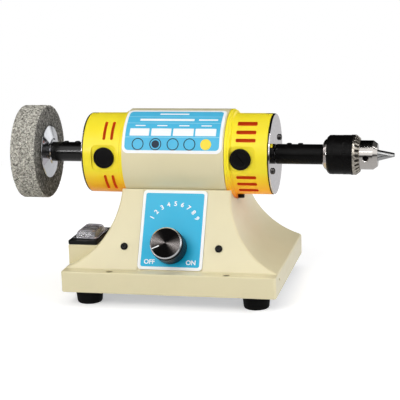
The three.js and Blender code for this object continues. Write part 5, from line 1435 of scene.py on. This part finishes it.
body = spun("chuck_body.shown", at_chuck(
    (15.6, 0), (15.6, 5.0), (0, 5.35, 0.2), (0, 8.3, 0.3), (1.4, 10.9, 1.2), (3.3, 12.45, 0.4),
    (3.6, 12.5), (21.6, 12.4, 0.2), (21.6, 8.3), (25.9, 8.3), (25.9, 11.2), (38.7, 11.2, 0.45),
    (42.1, 8.7, 0.35), (42.1, 0)), 0.1, 144, AXIS, False)
body.data.materials.append(chuck_steel.material)
KEY_TURNS = (-5, 115, 235)
for turn in KEY_TURNS:
    boolean(body, rod(-46, 14, 3.15, 48, jaw_frame(turn + 60)), finish=chuck_steel)
for turn in KEY_TURNS:
    place = on_motor(CHUCK + 33.4, turn)
    countersink = lathe("key", [(9.6, 0), (9.6, 1.2), (11.5, 3.1), (14, 3.1), (14, 0)], 48, place)
    boolean(body, countersink, finish=chuck_steel)
    # The key hole's bore gets the painted hole shade
    boolean(body, lathe("key", [(5.2, 0), (6.2, 2.1), (12, 2.1), (12, 0)], 48, place), finish=painted_hole_shade)
done(body, chuck_steel, "steel", "chuck_body", body="spindle", sharp=32)


def ground_planes(turn):
    """The planes that grind a jaw: its tip, and two at 60 degrees that it shares with the others."""
    a = radians(turn)
    out = Vector((0, -cos(a), sin(a)))
    side = Vector((0, sin(a), cos(a)))
    yield Vector(((CHUCK + JAW_TIP) * MM, 0, 0)), Vector((1, 0, 0))
    for s in (-1, 1):
        normal = (side * s * cos(radians(60)) - out * sin(radians(60))).normalized()
        yield Vector((0, DEPTH * MM, AXIS_Z * MM)) - normal * 0.12 * MM, normal


for k in range(3):
    turn = 55 + 120 * k
    front = (JAW_TIP - CROSS) / cos(SLANT) + JAW_RADIUS * tan(SLANT)
    jaw = spun("chuck_jaw_%d.shown" % (k + 1), [
        (front - 33.9, 0), (front - 33.9, JAW_RADIUS, 0.3), (front + 2, JAW_RADIUS), (front + 2, 0)],
        0.2, 64, jaw_frame(turn), False)
    bm = opened(jaw)
    for point, normal in ground_planes(turn):
        cut = bmesh.ops.bisect_plane(bm, geom=bm.verts[:] + bm.edges[:] + bm.faces[:], dist=1e-9,
                                     plane_co=point, plane_no=normal, clear_outer=True)
        edges = [e for e in cut["geom_cut"] if isinstance(e, bmesh.types.BMEdge)]
        if edges:
            bmesh.ops.edgenet_fill(bm, edges=edges)
    bmesh.ops.remove_doubles(bm, verts=bm.verts, dist=1e-7)
    bmesh.ops.recalc_face_normals(bm, faces=bm.faces)
    close(bm, jaw)
    done(jaw, jaw_steel, "steel", "chuck_jaw_%d" % (k + 1), body="jaw_%d" % (k + 1), sharp=30)

# The CAD nodes that are shown as they are
for finish, *names in (
    (galvanised, "bottom_plate", "pot_body"),
    (screw_steel, "pot_shaft", "left_bearing", "right_bearing", "rotor_shaft", "chuck_nut_ring"),
    (wire, "field_coil_upper", "field_coil_lower", "rotor_winding"),
    (lamination, "stator_core", "rotor_core"),
    (carbon, "carbon_brush_front", "carbon_brush_rear"),
    (board_green, "control_board"),
    (black_plastic, "switch_body"),
    (copper, "commutator"),
    (fan_plastic, "cooling_fan"),
):
    for name in names:
        materials = nodes[name].data.materials
        materials.clear()
        materials.append(finish.material)
